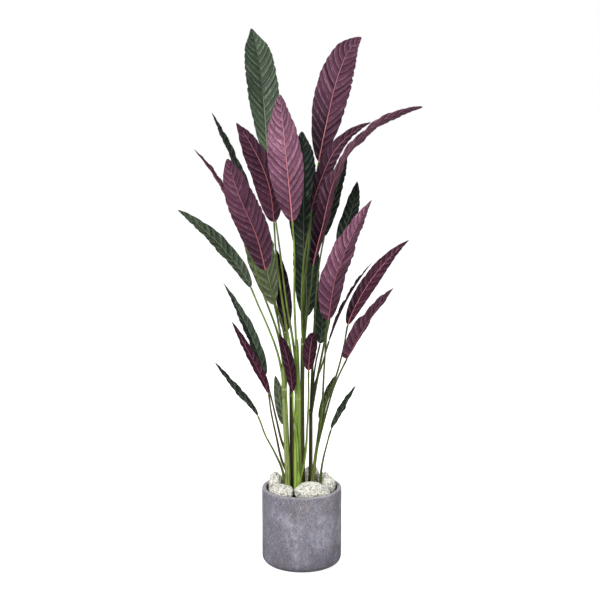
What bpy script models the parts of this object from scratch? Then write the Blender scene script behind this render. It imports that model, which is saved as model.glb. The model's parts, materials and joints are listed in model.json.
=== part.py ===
"""A potted stromanthe: a concrete pot of soil and pale stones with eight shoots of long leaves.

Units are metres and +Z is up.  The origin is the middle of the pot's flat bottom, and -Y is the
front.  The plant's own positions are written in centimetres, because they were judged by eye.
"""

import math
import random
from collections import namedtuple

import bmesh
import bpy
from mathutils import Matrix, Vector, noise

CM = 0.01
GAP = 0.0003
SEAT_GAP = 0.0004

POT_RADIUS = 0.110
POT_HEIGHT = 0.2145
POT_WALL = 0.012
POT_FLOOR = 0.016
POT_FOOT_ROUND = 0.020
POT_LIP_ROUND = 0.004
POT_STEPS = 44

SOIL_TOP = 0.195
STEM_DEPTH = 0.060
HOLE_CLEARANCE = 0.001
HOLE_SIDES = 12

# A stone's flat underside cuts it off at this share of its half height below its middle.
STONE_FLAT = 0.72
LUMP_HEIGHT = 0.16
LUMP_SCALE = 1.6
BUMP_HEIGHT = 0.05
BUMP_SCALE = 4.0

TRUNK_STEP = 0.075
STALK_STEP = 0.070
STALK_END = 0.008
STALK_FOOT_RADIUS = 0.0031
STALK_TOP_RADIUS = 0.0023
TRUNK_ROUNDNESS = 2
STALK_ROUNDNESS = 1
JOIN_DISTANCE = 0.00001

BLADE_THICKNESS = 0.0010
RIB_HEIGHT = 0.0014
ROW_LENGTH = 0.024
FEWEST_ROWS = 8
ROW_CROWDING = 0.6
KEEL = 16
VEIN_SLOPE = 0.8
PLEAT = 0.0018
EDGE_WAVE = 0.07
WAVE_LENGTH = 0.110
SCALLOP = 0.030
BASE_HALF_WIDTH = 0.0018
TIP_HALF_WIDTH = 0.0006
NUDGE = 0.002
COLUMNS = (-1.0, -0.5, 0.0, 0.5, 1.0)

FRONT = Vector((0, -1, 0))

# A leaf's stalk runs up through its points, in centimetres, to the first point of its midrib.
# Its roll, in degrees, turns the green side: 0 faces the front, 90 the right and 180 the back.
# Its ends say how blunt the blade is at its foot and at its tip: the smaller, the blunter.
# Its keel, in degrees, is how far each half of the blade is folded up from flat.
SLENDER = (0.52, 0.78)
Leaf = namedtuple("Leaf", "name stalk midrib width roll ends keel", defaults=(SLENDER, KEEL))
Shoot = namedtuple("Shoot", "name colour radii trunk leaves")

SHOOTS = (
    Shoot("left", "stem_green", (0.85, 0.74), ((-3.7, -1, 19.5), (-4.2, -2, 35), (-4.8, -3, 51)), (
        Leaf("leaf_left_1", ((-4.8, -3, 47.5), (-5, -5.5, 66.5), (-8, -8.5, 77)),
             ((-9.5, -10, 83), (-11.35, -12.2, 91), (-15.95, -17.7, 103.2), (-18.5, -21, 112.3)), 8.1, 184,
             (0.50, 0.60)),
        Leaf("leaf_left_2", ((-4.9, -3, 47), (-6.5, -3.5, 65), (-10, -3.5, 75), (-13.5, -3, 85.5)),
             ((-15.5, -3, 92), (-21.2, -2, 104), (-28.5, -1, 114)), 3.6, 114),
        Leaf("leaf_left_3", ((-4.8, -3.1, 46), (-6.4, -3, 59), (-9.4, -3.5, 67.5), (-11.8, -3.5, 73)),
             ((-13.6, -4, 77.5), (-22.5, -6, 90), (-32.5, -7, 98.5)), 4.8, 45),
        Leaf("leaf_left_4", ((-4.8, -2.8, 46.5), (-5.5, 0, 62.5)),
             ((-7.5, 4, 71.5), (-11.5, 10, 88), (-18.5, 19, 103.5)), 9.8, -30, (0.60, 0.64)),
        Leaf("leaf_left_5",
             ((-4.7, -2.8, 46), (-5.2, 1.5, 58), (-7, 8, 69), (-9, 14, 80), (-11.5, 18, 91)),
             ((-14.5, 20, 100), (-19.9, 22, 111.5), (-25.5, 24, 123.5)), 3.6, 62),
    )),
    Shoot("front", "stem_green", (1.18, 0.84),
          ((-1.1, -1.7, 19.5), (-1.2, -3, 35.5), (-1.1, -3.5, 48.4)), (
        Leaf("leaf_front_1", ((-1, -3.6, 44.5), (-1.5, -5, 62), (-2, -6.5, 74.5), (-2, -8, 88)),
             ((-2.5, -9, 95.5), (-4, -14, 112), (-5.5, -20, 128)), 9.25, (186, 192, 225),
             (0.58, 0.66)),
        Leaf("leaf_front_2", ((-1.1, -3.5, 44), (-3, -4, 60), (-5.3, -4.5, 74.5), (-6.9, -5, 87.5)),
             ((-7.35, -5, 95), (-8.65, -7, 105), (-12.3, -9, 114), (-16.8, -10, 121)), 7.3,
             (190, 205, 215), (0.50, 0.66)),
        Leaf("leaf_front_3",
             ((-1, -3.3, 44.5), (-2, -1.5, 59.5), (-4, 0.5, 72), (-6, 3, 87), (-7.5, 5.5, 97.5)),
             ((-9, 7, 109.5), (-10.6, 12, 128), (-12, 15.5, 138), (-14, 19, 146.5)), 8.8, 12,
             (0.78, 0.58)),
        Leaf("leaf_front_4", ((-1, -2.4, 23), (-1.1, -3.9, 30), (-1.6, -4.6, 38), (-2.3, -5.5, 44)),
             ((-2.5, -6, 49.5), (-3.6, -9, 58.5), (-6, -14, 67)), 3.1, 175),
        Leaf("leaf_front_5", ((-0.5, -2.5, 24.5), (1, -5, 32.5), (1.5, -6, 40.5), (1.8, -6.5, 49)),
             ((1.8, -7, 55.5), (2.1, -9.5, 61), (2.9, -13, 67)), 3.8, 186, (0.50, 0.50)),
    )),
    Shoot("middle", "stem_dark", (0.58, 0.60), ((0.5, 1.6, 19.5), (0.15, 1, 43), (0.3, 0, 63.5)), (
        Leaf("leaf_middle_1", ((0.5, 0, 61), (0, -0.5, 72.5), (0.5, -1, 84), (2, -1, 93.5)),
             ((2.5, -1, 97.5), (5.1, -1, 106), (9, 0, 114), (18.5, 3, 121)), 4.3, (138, 182, 225)),
        Leaf("leaf_middle_2", ((0.5, 0, 60.5), (0.7, 1, 76), (2, 1, 89.5), (2.7, 1.5, 99)),
             ((4.5, 2, 110.5), (6.5, 3.5, 120.5), (10.5, 6.5, 135.5), (12.3, 7.5, 139.6), (16, 9, 143.5)),
             9.6, 192, (0.70, 0.60)),
        Leaf("leaf_middle_3", ((0.5, 0.1, 60), (0.5, 2, 74.5)),
             ((0.5, 4, 85), (0.5, 5, 102), (0, 7, 118.5)), 8.4, -12, (0.44, 0.50)),
        Leaf("leaf_middle_4", ((0.5, 0.1, 60), (0.6, 3, 65)),
             ((1, 5, 68), (1.2, 11, 85), (0.5, 19, 102)), 7.4, 0),
        Leaf("leaf_middle_5", ((0.5, 0, 60), (1.5, -1.5, 71), (2.5, -3, 78)),
             ((3, -4, 83.5), (5.2, -6, 93.5), (9.15, -9, 108.5), (13.2, -10, 115.4), (18.7, -11.5, 120.4),
              (30.5, -13, 125)),
             6.6, (222, 222, 222, 230, 250, 253, 248, 246, 242), (0.48, 0.45),
             (16, 16, 16, 14, 5, 0, 0, 0, 0)),
    )),
    Shoot("brown", "stem_dark", (0.68, 0.62), ((-2.4, 0.6, 19.5), (-2.75, 0, 34.5), (-2.85, 0, 48.5)), (
        Leaf("leaf_brown_1", ((-3, 0, 46.5), (-3.5, 1, 56.5)),
             ((-4.4, 3, 64), (-5.4, 7, 75), (-7.2, 12, 86)), 4.6, 160),
        Leaf("leaf_brown_2", ((-2.7, 0.1, 28), (-4.4, 1.2, 34)),
             ((-5, 2, 38.2), (-6.1, 6, 44.5), (-7.5, 10, 50.5)), 3.2, 0),
        Leaf("leaf_brown_3", ((-2.4, 0.5, 22.5), (-5, 1, 27), (-7, 0, 35.5), (-8.5, -2.5, 44)),
             ((-9, -4, 48.5), (-13.5, -6, 59), (-18.5, -8, 69)), 2.7, 165),
        Leaf("leaf_brown_4", ((-2.7, 0.1, 28), (-5, 0.5, 32.5), (-7, -0.2, 40.5), (-8.5, 0, 47)),
             ((-10, 1, 52.5), (-15, 3, 65.5), (-21.5, 5, 77.5)), 3.9, 44, (0.50, 1.00)),
    )),
    Shoot("back", "stem_dark", (0.60, 0.54), ((2.4, 4, 19.5), (2.5, 4, 33.5), (2.5, 4, 42.5)), (
        Leaf("leaf_back_1", ((2.5, 4, 40.5), (3, 4, 48.5), (4, 4.5, 56)),
             ((5, 5, 60.5), (6, 10, 70.5), (7.5, 16, 82)), 5.0, -8),
        Leaf("leaf_back_2", ((2.5, 4, 40), (3.5, 4, 49), (5.5, 4, 54.5)),
             ((7.5, 4, 61.5), (13, 7, 73.5), (19.5, 10, 82.5)), 3.6, 258),
        Leaf("leaf_back_3", ((2.5, 4, 40), (3, 3.5, 56.5), (3.5, 3, 67.5), (4.5, 4, 81)),
             ((6.1, 5, 90.2), (7.9, 7, 97.3), (9.3, 9, 102.1), (12.5, 13, 112)), 5.0, -35),
        Leaf("leaf_back_4",
             ((2.5, 4, 40.5), (4.3, 2.6, 51.5), (6, 2.4, 60.5), (7.4, 3, 68.5), (9.2, 4.2, 77)),
             ((10.3, 6, 87.5), (13.6, 11, 96), (15.5, 17, 104.5)), 4.6, -25),
    )),
    Shoot("right", "stem_olive", (0.52, 0.48), ((2.8, -0.4, 19.5), (3.5, -1, 28), (4.5, -1, 35)), (
        Leaf("leaf_right_1", ((4.3, -1, 33.5), (5.5, -3, 45), (6, -5, 56), (6.5, -7, 64.5)),
             ((7, -8, 69.5), (8.8, -11, 81.5), (11.4, -13.5, 89), (17.5, -19, 102)), 7.8,
             (205, 212, 220), (0.47, 0.88)),
        Leaf("leaf_right_2", ((4.2, -1, 33), (6.5, -0.5, 44.5), (9.5, 0, 53), (11.5, 0.5, 61)),
             ((12.5, 1, 66.5), (17, 2, 76), (20.5, 2.5, 81), (29, 3, 89.5)), 4.4, (190, 165, 215)),
        Leaf("leaf_right_3", ((4.2, -1, 33), (6.5, -2.5, 42.5), (9, -4.5, 51.5)),
             ((12, -6, 58.5), (17, -10, 69), (23.5, -15, 79)), 8.0, 238, (0.42, 0.80)),
        Leaf("leaf_right_4", ((4, -1, 31.5), (4.5, 1.5, 36)),
             ((5, 5, 39), (7.1, 8, 45.3), (9.5, 12, 50)), 2.2, -35),
    )),
    Shoot("low_left", "stem_olive", (0.36, 0.32), ((-4.8, 1.4, 19.5), (-4.8, 1.4, 22.5)), (
        Leaf("leaf_low_left", ((-4.8, 1.4, 21), (-5.4, 1.3, 25.5), (-7.6, 0.6, 31), (-10, -0.5, 36)),
             ((-12, -1, 41.5), (-18.2, -2, 49.6), (-23.5, -3, 57)), 3.0, 66),
    )),
    Shoot("low_right", "stem_olive", (0.36, 0.32), ((5, -0.9, 19.5), (5.1, -0.9, 22.5)), (
        Leaf("leaf_low_right", ((5, -0.9, 21), (5.7, -1, 28.5), (6.8, -1.5, 33.5)),
             ((8, -2, 38), (11, -3, 44), (14.5, -5, 51)), 2.9, -66),
    )),
)

# Each stone has its middle and half sizes across, deep and high, in centimetres, and its turn.
Stone = namedtuple("Stone", "name middle size turn faces")
STONES = (
    Stone("stone_front", (2.6, -5.6), (4.8, 2.5, 2.8), 3, 3),
    Stone("stone_front_left", (-5.3, -4.6), (3.3, 2.4, 2.2), -20, 3),
    Stone("stone_left", (-7.35, 1.4), (1.85, 2.6, 3.2), 6, 3),
    Stone("stone_back_left", (-3.2, 6.2), (3.2, 2.3, 2.4), 18, 3),
    Stone("stone_back", (2.8, 7.2), (2.2, 1.7, 3.3), 0, 3),
    Stone("stone_back_right", (6.4, 4.4), (1.9, 1.7, 2.6), -35, 3),
    Stone("stone_right", (7.55, -0.6), (1.75, 2.5, 2.8), -4, 3),
    Stone("stone_chip", (-8.5, -2.0), (0.7, 0.8, 1.2), 0, 2),
    Stone("stone_inner", (1.4, -0.8), (0.7, 0.8, 1.6), 30, 2),
    Stone("stone_inner_left", (-1.6, 2.8), (1.0, 0.8, 1.5), 30, 2),
)

# Colour, roughness and metallic value of each finish.
FINISHES = {
    "pot_concrete": ((0.24, 0.21, 0.23), 0.85, 0.0),
    "soil": ((0.030, 0.022, 0.016), 0.95, 0.0),
    "stone": ((0.74, 0.73, 0.64), 0.85, 0.0),
    "stem_green": ((0.16, 0.30, 0.06), 0.5, 0.0),
    "stem_olive": ((0.10, 0.14, 0.04), 0.5, 0.0),
    "stem_dark": ((0.05, 0.05, 0.02), 0.55, 0.0),
    "leaf_green": ((0.050, 0.090, 0.060), 0.5, 0.0),
    "leaf_purple": ((0.150, 0.050, 0.090), 0.5, 0.0),
}


def clear_scene():
    for thing in list(bpy.data.objects):
        bpy.data.objects.remove(thing, do_unlink=True)


def new_collection(name):
    group = bpy.data.collections.new(name)
    bpy.context.scene.collection.children.link(group)
    return group


def material(name, finish):
    colour, roughness, metallic = FINISHES[finish]
    result = bpy.data.materials.new(name)
    result.use_nodes = True
    shader = result.node_tree.nodes["Principled BSDF"]
    shader.inputs["Base Color"].default_value = (*colour, 1)
    shader.inputs["Roughness"].default_value = roughness
    shader.inputs["Metallic"].default_value = metallic
    return result


def mesh_object(name, mesh, group, *finishes):
    thing = bpy.data.objects.new(name, mesh)
    group.objects.link(thing)
    for finish in finishes:
        mesh.materials.append(material(f"{name}_{finish}", finish))
    return thing


def centimetres(points):
    return [Vector(point) * CM for point in points]


def smooth_path(points):
    """Knots by chord length, and a function giving the point on a smooth curve through them."""
    knots = [0.0]
    pace = []
    for start, end in zip(points, points[1:]):
        span = (end - start).length
        knots.append(knots[-1] + span)
        pace.append((end - start) / span)
    slopes = []
    for i in range(1, len(points) - 1):
        before = knots[i] - knots[i - 1]
        after = knots[i + 1] - knots[i]
        slopes.append((pace[i - 1] * after + pace[i] * before) / (before + after))
    if slopes:
        slopes.insert(0, 2 * pace[0] - slopes[0])
        slopes.append(2 * pace[-1] - slopes[-1])
    else:
        slopes = [pace[0], pace[0]]

    def point_at(distance):
        i = 0
        while i < len(pace) - 1 and distance > knots[i + 1]:
            i += 1
        span = knots[i + 1] - knots[i]
        t = (distance - knots[i]) / span
        return ((2 * t**3 - 3 * t**2 + 1) * points[i] + (t**3 - 2 * t**2 + t) * span * slopes[i]
                + (3 * t**2 - 2 * t**3) * points[i + 1] + (t**3 - t**2) * span * slopes[i + 1])

    return knots, point_at


def evenly(start, end, step):
    count = max(2, math.ceil((end - start) / step) + 1)
    return [start + (end - start) * i / (count - 1) for i in range(count)]


def turned(name, profile, group, *finishes):
    """A solid turned about +Z from (radius, height) points that start and end on the axis."""
    mesh = bpy.data.meshes.new(name)
    corners = [(radius, 0, height) for radius, height in profile]
    mesh.from_pydata(corners, [(i, i + 1) for i in range(len(corners) - 1)], [])
    thing = mesh_object(name, mesh, group, *finishes)
    screw = thing.modifiers.new("Turn", "SCREW")
    screw.steps = POT_STEPS
    screw.render_steps = POT_STEPS
    screw.use_merge_vertices = True
    screw.merge_threshold = JOIN_DISTANCE
    screw.use_smooth_shade = True
    return thing


def arc(middle, radius, start, end, count):
    """Points on a quarter round, from one angle in degrees to another."""
    angles = [math.radians(start + (end - start) * i / count) for i in range(count + 1)]
    return [(middle[0] + radius * math.cos(a), middle[1] + radius * math.sin(a)) for a in angles]


def make_pot(group):
    inner = POT_RADIUS - POT_WALL
    inner_round = POT_FOOT_ROUND - POT_WALL
    lip = POT_LIP_ROUND
    profile = [(0, POT_FLOOR)]
    profile += arc((inner - inner_round, POT_FLOOR + inner_round), inner_round, -90, 0, 2)
    profile += arc((inner + lip, POT_HEIGHT - lip), lip, 180, 90, 3)
    profile += arc((POT_RADIUS - lip, POT_HEIGHT - lip), lip, 90, 0, 3)
    foot = POT_FOOT_ROUND
    profile += arc((POT_RADIUS - foot, foot), foot, 0, -90, 5)
    profile.append((0, 0))
    return turned("pot", profile, group, "pot_concrete")


def make_soil(group, cutters):
    radius = POT_RADIUS - POT_WALL - GAP
    bevel = POT_FOOT_ROUND - POT_WALL
    floor = POT_FLOOR + GAP
    profile = [(0, SOIL_TOP), (radius, SOIL_TOP), (radius, floor + bevel)]
    profile += [(radius - bevel, floor), (0, floor)]
    soil = turned("soil", profile, group, "soil")
    for shoot in SHOOTS:
        foot = Vector(shoot.trunk[0]) * CM
        mesh = bpy.data.meshes.new(f"hole_{shoot.name}")
        shape = bmesh.new()
        wide = shoot.radii[0] * CM + HOLE_CLEARANCE
        long = 2 * (STEM_DEPTH + GAP)
        bmesh.ops.create_cone(shape, cap_ends=True, segments=HOLE_SIDES,
                              radius1=wide, radius2=wide, depth=long)
        shape.to_mesh(mesh)
        shape.free()
        hole = bpy.data.objects.new(mesh.name, mesh)
        hole.location = (foot.x, foot.y, SOIL_TOP)
        hole.hide_render = True
        hole.display_type = "WIRE"
        cutters.objects.link(hole)
    cut = soil.modifiers.new("Stem holes", "BOOLEAN")
    cut.operand_type = "COLLECTION"
    cut.collection = cutters
    return soil


def make_stone(stone, group):
    """A lumpy stone with a flat underside that sits on the soil."""
    width, depth, height = (half * CM for half in stone.size)
    shape = bmesh.new()
    bmesh.ops.create_icosphere(shape, subdivisions=stone.faces, radius=1)
    seed = Vector((stone.middle[0], stone.middle[1], stone.size[0]))
    for corner in shape.verts:
        lump = LUMP_HEIGHT * noise.noise(corner.co * LUMP_SCALE + seed)
        bump = BUMP_HEIGHT * noise.noise(corner.co * BUMP_SCALE + seed)
        corner.co *= 1 + lump + bump
        corner.co.z = max(corner.co.z, -STONE_FLAT)
    matrix = Matrix.Rotation(math.radians(stone.turn), 4, "Z") @ Matrix.Diagonal((width, depth, height, 1))
    bmesh.ops.transform(shape, verts=shape.verts, matrix=matrix)
    mesh = bpy.data.meshes.new(stone.name)
    shape.to_mesh(mesh)
    shape.free()
    thing = mesh_object(stone.name, mesh, group, "stone")
    thing.location = (stone.middle[0] * CM, stone.middle[1] * CM, SOIL_TOP + GAP + STONE_FLAT * height)
    return thing


def tube(name, points, radii, roundness, group):
    """A closed tube through the points, its radius going evenly from the first to the last."""
    curve = bpy.data.curves.new(name, "CURVE")
    curve.dimensions = "3D"
    curve.bevel_depth = 1.0
    curve.bevel_resolution = roundness
    curve.use_fill_caps = True
    spline = curve.splines.new("POLY")
    spline.points.add(len(points) - 1)
    for i, point in enumerate(points):
        spline.points[i].co = (*point, 1)
        spline.points[i].radius = radii[0] + (radii[1] - radii[0]) * i / (len(points) - 1)
    rope = bpy.data.objects.new(name, curve)
    group.objects.link(rope)
    bpy.context.view_layer.update()
    mesh = bpy.data.meshes.new_from_object(rope.evaluated_get(bpy.context.evaluated_depsgraph_get()))
    shape = bmesh.new()
    shape.from_mesh(mesh)
    bmesh.ops.remove_doubles(shape, verts=shape.verts, dist=JOIN_DISTANCE)
    bmesh.ops.recalc_face_normals(shape, faces=shape.faces)
    shape.to_mesh(mesh)
    shape.free()
    thing = bpy.data.objects.new(f"{name}_tube", mesh)
    group.objects.link(thing)
    thing.matrix_world = rope.matrix_world
    bpy.data.objects.remove(rope, do_unlink=True)
    return thing


def stalk_path(leaf):
    """The smooth curve of a leaf from its stalk's foot to its tip, and where its blade starts."""
    points = centimetres(leaf.stalk + leaf.midrib)
    knots, point_at = smooth_path(points)
    return knots[len(leaf.stalk)], knots, point_at


def make_shoot(shoot, group, guides):
    """A trunk of wrapped stalks, and the stalk of each leaf that leaves it."""
    knots, point_at = smooth_path(centimetres(shoot.trunk))
    points = [point_at(s) for s in evenly(0, knots[-1], TRUNK_STEP)]
    points.insert(0, points[0] - Vector((0, 0, STEM_DEPTH)))
    radii = [radius * CM for radius in shoot.radii]
    trunk = tube(f"shoot_{shoot.name}", points, radii, TRUNK_ROUNDNESS, guides)
    stalks = new_collection(f"stalks_{shoot.name}")
    for leaf in shoot.leaves:
        start, _, point_at = stalk_path(leaf)
        points = [point_at(s) for s in evenly(0, start - STALK_END, STALK_STEP)] + [point_at(start)]
        tube(leaf.name, points, (STALK_FOOT_RADIUS, STALK_TOP_RADIUS), STALK_ROUNDNESS, stalks)
    join = trunk.modifiers.new("Stalks", "BOOLEAN")
    join.operation = "UNION"
    join.operand_type = "COLLECTION"
    join.collection = stalks
    bpy.context.view_layer.update()
    mesh = bpy.data.meshes.new_from_object(trunk.evaluated_get(bpy.context.evaluated_depsgraph_get()))
    mesh.name = f"shoot_{shoot.name}"
    for piece in list(stalks.objects) + [trunk]:
        bpy.data.objects.remove(piece, do_unlink=True)
    bpy.data.collections.remove(stalks)
    mesh.materials.clear()
    return mesh_object(f"shoot_{shoot.name}", mesh, group, shoot.colour)


def angle_at(degrees, u):
    """An angle, or the angle at a share of the length from a list of them, in radians."""
    if not isinstance(degrees, tuple):
        return math.radians(degrees)
    place = u * (len(degrees) - 1)
    i = min(int(place), len(degrees) - 2)
    share = place - i
    return math.radians(degrees[i] * (1 - share) + degrees[i + 1] * share)


def half_width(leaf, u):
    """Half the blade's width at a share of its length, from a blunt foot to a drawn out tip."""
    foot, tip = leaf.ends
    widest = foot / (foot + tip)
    swell = (u / widest) ** foot * ((1 - u) / (1 - widest)) ** tip
    return max(leaf.width * CM / 2 * swell, BASE_HALF_WIDTH + (TIP_HALF_WIDTH - BASE_HALF_WIDTH) * u)


def blade_frame(leaf, path, u):
    """Place, side and upper face of the blade at a share of its length."""
    start, knots, point_at = path
    distance = start + SEAT_GAP + (knots[-1] - start - SEAT_GAP) * u
    along = (point_at(min(distance + NUDGE, knots[-1])) - point_at(distance - NUDGE)).normalized()
    front = (FRONT - along * FRONT.dot(along)).normalized()
    right = along.cross(front)
    roll = angle_at(leaf.roll, u)
    upper = front * math.cos(roll) + right * math.sin(roll)
    return point_at(distance), along.cross(upper), upper


def make_blade(leaf, group):
    """A thin keeled blade with pleats along its side veins and a waved edge."""
    path = stalk_path(leaf)
    length = path[1][-1] - path[0]
    rows = max(FEWEST_ROWS, round(length / ROW_LENGTH))
    slant = VEIN_SLOPE * leaf.width * CM / 2 / length
    draw = random.Random(leaf.name)
    phase = {-1: draw.uniform(0, 2 * math.pi), 1: draw.uniform(0, 2 * math.pi)}
    grids = {}
    shape = bmesh.new()
    for face in (1, -1):
        for i in range(rows + 1):
            for j, v in enumerate(COLUMNS):
                ease = math.sin(math.pi * i / rows)
                crowded = (1 - math.cos(math.pi * i / rows)) / 2
                along = i / rows + (crowded - i / rows) * ROW_CROWDING
                u = min(1, along + slant * abs(v) * ease)
                middle, side, upper = blade_frame(leaf, path, u)
                pleat = (-1) ** i * ease
                half = half_width(leaf, u) * (1 + SCALLOP * pleat * abs(v))
                turn = 2 * math.pi * length / WAVE_LENGTH * u + phase[1 if v > 0 else -1]
                wave = math.sin(turn) * v * v * ease
                keel = angle_at(leaf.keel, u)
                lift = half * abs(v) * math.sin(keel) + PLEAT * pleat * abs(v) + EDGE_WAVE * half * wave
                lift += face * BLADE_THICKNESS / 2
                if v == 0 and face < 0:
                    lift -= RIB_HEIGHT * (1 - u)
                place = middle + side * (half * v * math.cos(keel)) + upper * lift
                grids[face, i, j] = shape.verts.new(place)
    last = len(COLUMNS) - 1
    for i in range(rows):
        for j in range(last):
            for face in (1, -1):
                a, b = grids[face, i, j], grids[face, i, j + 1]
                c, d = grids[face, i + 1, j + 1], grids[face, i + 1, j]
                halves = ((a, b, c), (a, c, d)) if j >= last / 2 else ((a, b, d), (b, c, d))
                for corners in halves:
                    new = shape.faces.new(corners if face < 0 else corners[::-1])
                    new.material_index = 0 if face > 0 else 1
    rim = [(i, 0) for i in range(rows)] + [(rows, j) for j in range(last)]
    rim += [(i, last) for i in range(rows, 0, -1)] + [(0, j) for j in range(last, 0, -1)]
    for (i, j), (k, m) in zip(rim, rim[1:] + rim[:1]):
        a, b = grids[1, i, j], grids[1, k, m]
        c, d = grids[-1, k, m], grids[-1, i, j]
        shape.faces.new((a, b, c)).material_index = 1
        shape.faces.new((a, c, d)).material_index = 1
    bmesh.ops.recalc_face_normals(shape, faces=shape.faces)
    mesh = bpy.data.meshes.new(leaf.name)
    shape.to_mesh(mesh)
    shape.free()
    mesh.shade_smooth()
    return mesh_object(leaf.name, mesh, group, "leaf_green", "leaf_purple")


def main():
    clear_scene()
    parts = new_collection("potted_stromanthe")
    cutters = new_collection("stem_hole_cutters")
    guides = new_collection("stem_guides")
    make_pot(parts)
    make_soil(parts, cutters)
    for stone in STONES:
        make_stone(stone, parts)
    for shoot in SHOOTS:
        make_shoot(shoot, parts, guides)
        for leaf in shoot.leaves:
            make_blade(leaf, parts)
    bpy.data.collections.remove(guides)


main()
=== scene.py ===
# %% [markdown]
# This script dresses a potted stromanthe: a leafy house plant with long pleated blades, green on
# one face and purple on the other, in a round concrete pot topped with pale, rough stones. A plain
# solid model of it is loaded first. It is in metres, with +Z up and the front towards -Y. Each
# piece made here stands for one or more of its solids, called nodes, and stays where they are.

# %% Load the solid model
import json
import math
import random
from collections import namedtuple

import bmesh
import bpy
from mathutils import Matrix, Vector, noise


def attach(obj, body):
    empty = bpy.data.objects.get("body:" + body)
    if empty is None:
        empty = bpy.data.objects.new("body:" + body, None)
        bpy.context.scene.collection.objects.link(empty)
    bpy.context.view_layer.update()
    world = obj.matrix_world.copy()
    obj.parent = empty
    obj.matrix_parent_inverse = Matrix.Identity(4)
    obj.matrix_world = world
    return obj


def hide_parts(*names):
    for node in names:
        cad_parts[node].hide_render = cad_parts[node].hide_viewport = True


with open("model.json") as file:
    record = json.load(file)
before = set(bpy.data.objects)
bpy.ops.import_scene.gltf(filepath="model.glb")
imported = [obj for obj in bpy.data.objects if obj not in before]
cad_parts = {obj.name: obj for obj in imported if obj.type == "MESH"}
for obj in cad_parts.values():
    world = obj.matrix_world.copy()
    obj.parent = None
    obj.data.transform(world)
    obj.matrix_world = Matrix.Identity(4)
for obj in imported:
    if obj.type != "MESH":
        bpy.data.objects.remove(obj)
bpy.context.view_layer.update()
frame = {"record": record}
BODY = "root"
CM = 0.01

# %% [markdown]
# The camera comes first, because every later choice is judged through it. A long lens from a few
# metres away keeps the pot's sides upright, and a gentle downward pitch shows the stones inside
# the rim. The numbers came from the ellipse of the rim, the foot of the pot and its two sides.

# %% Place the camera
CAMERA_PLACE = (-0.005, -3.2, 1.2417)
CAMERA_PITCH = math.radians(8.99)
CAMERA_LENS = 71.97

lens = bpy.data.cameras.new("camera")
lens.lens = CAMERA_LENS
lens.sensor_width = 36
camera = bpy.data.objects.new("camera", lens)
camera.location = CAMERA_PLACE
camera.rotation_euler = (math.radians(90) - CAMERA_PITCH, 0, 0)
bpy.context.scene.collection.objects.link(camera)
bpy.context.scene.camera = camera
print("camera at", CAMERA_PLACE)

# %% [markdown]
# A product shot has broad soft lights. A large lamp in front and above gives the blades their form,
# a weaker one lifts the other side, and a third lights the edges from behind. The sky of the world
# is dim, so that the folds between the leaves stay dark.

# %% Set up the light
SKY_STRENGTH = 0.48
Lamp = namedtuple("Lamp", "name place aim size power")
LAMPS = (
    Lamp("key_lamp", (-1.7, -2.7, 2.7), (0, 0, 0.8), 1.5, 190),
    Lamp("fill_lamp", (2.7, -2.0, 1.3), (0, 0, 0.6), 1.8, 52),
    Lamp("back_lamp", (0.8, 2.8, 2.8), (0, 0, 0.9), 1.6, 50),
)


def add_object(name, data):
    """Put a mesh, lamp or curve in the scene under a name."""
    thing = bpy.data.objects.new(name, data)
    bpy.context.scene.collection.objects.link(thing)
    return thing


def add_lamp(lamp):
    """A square soft lamp that looks at its aim."""
    data = bpy.data.lights.new(lamp.name, "AREA")
    data.shape = "SQUARE"
    data.size = lamp.size
    data.energy = lamp.power
    thing = add_object(lamp.name, data)
    thing.location = lamp.place
    direction = Vector(lamp.aim) - Vector(lamp.place)
    thing.rotation_euler = direction.to_track_quat("-Z", "Y").to_euler()
    return thing


for lamp in LAMPS:
    add_lamp(lamp)

sky = bpy.data.worlds.new("pale_sky")
sky.use_nodes = True
sky.node_tree.nodes["Background"].inputs["Color"].default_value = (1, 1, 1, 1)
sky.node_tree.nodes["Background"].inputs["Strength"].default_value = SKY_STRENGTH
bpy.context.scene.world = sky
bpy.context.scene.view_settings.view_transform = "Standard"
print("lamps:", ", ".join(lamp.name for lamp in LAMPS))

# %% [markdown]
# The floor and a ring wall far behind everything make the white surroundings. They will glow a
# little to look white, but they throw no light on the plant: it is switched off for both of them.
# The floor lies a hair below the pot, so that the two surfaces don't fight for the same place.

# %% Build the floor and the wall
FLOOR_SIZE = 60
FLOOR_DROP = 0.0005
WALL_RADIUS = 28
WALL_HEIGHT = 9
WALL_SIDES = 64


def to_mesh(name, shape):
    """Turn a shape that was edited as a bmesh into a mesh, and let go of the shape."""
    mesh = bpy.data.meshes.new(name)
    shape.to_mesh(mesh)
    shape.free()
    return mesh


def add_stage(name, shape):
    """A piece of the studio: the camera sees it, but the plant gets no light back from it."""
    thing = add_object(name, to_mesh(name, shape))
    thing.visible_diffuse = False
    thing.visible_glossy = False
    return thing


floor_shape = bmesh.new()
bmesh.ops.create_grid(floor_shape, x_segments=1, y_segments=1, size=FLOOR_SIZE / 2)
floor = add_stage("floor", floor_shape)
floor.location.z = -FLOOR_DROP
wall_shape = bmesh.new()
bmesh.ops.create_cone(wall_shape, segments=WALL_SIDES, radius1=WALL_RADIUS, radius2=WALL_RADIUS,
                      depth=WALL_HEIGHT)
wall = add_stage("ring_wall", wall_shape)
wall.location.z = WALL_HEIGHT / 2
print("a floor of", FLOOR_SIZE, "m and a wall", WALL_RADIUS, "m away")

# %% [markdown]
# Materials and geometry trees are both nodes joined by links, and a formula made of them soon
# becomes hard to read. The small class below lets a socket be used as a number: adding or
# multiplying two of them adds a Math node. It works the same in a shader and on a mesh.

# %% Write formulas with nodes
TURN = 2 * math.pi


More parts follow.
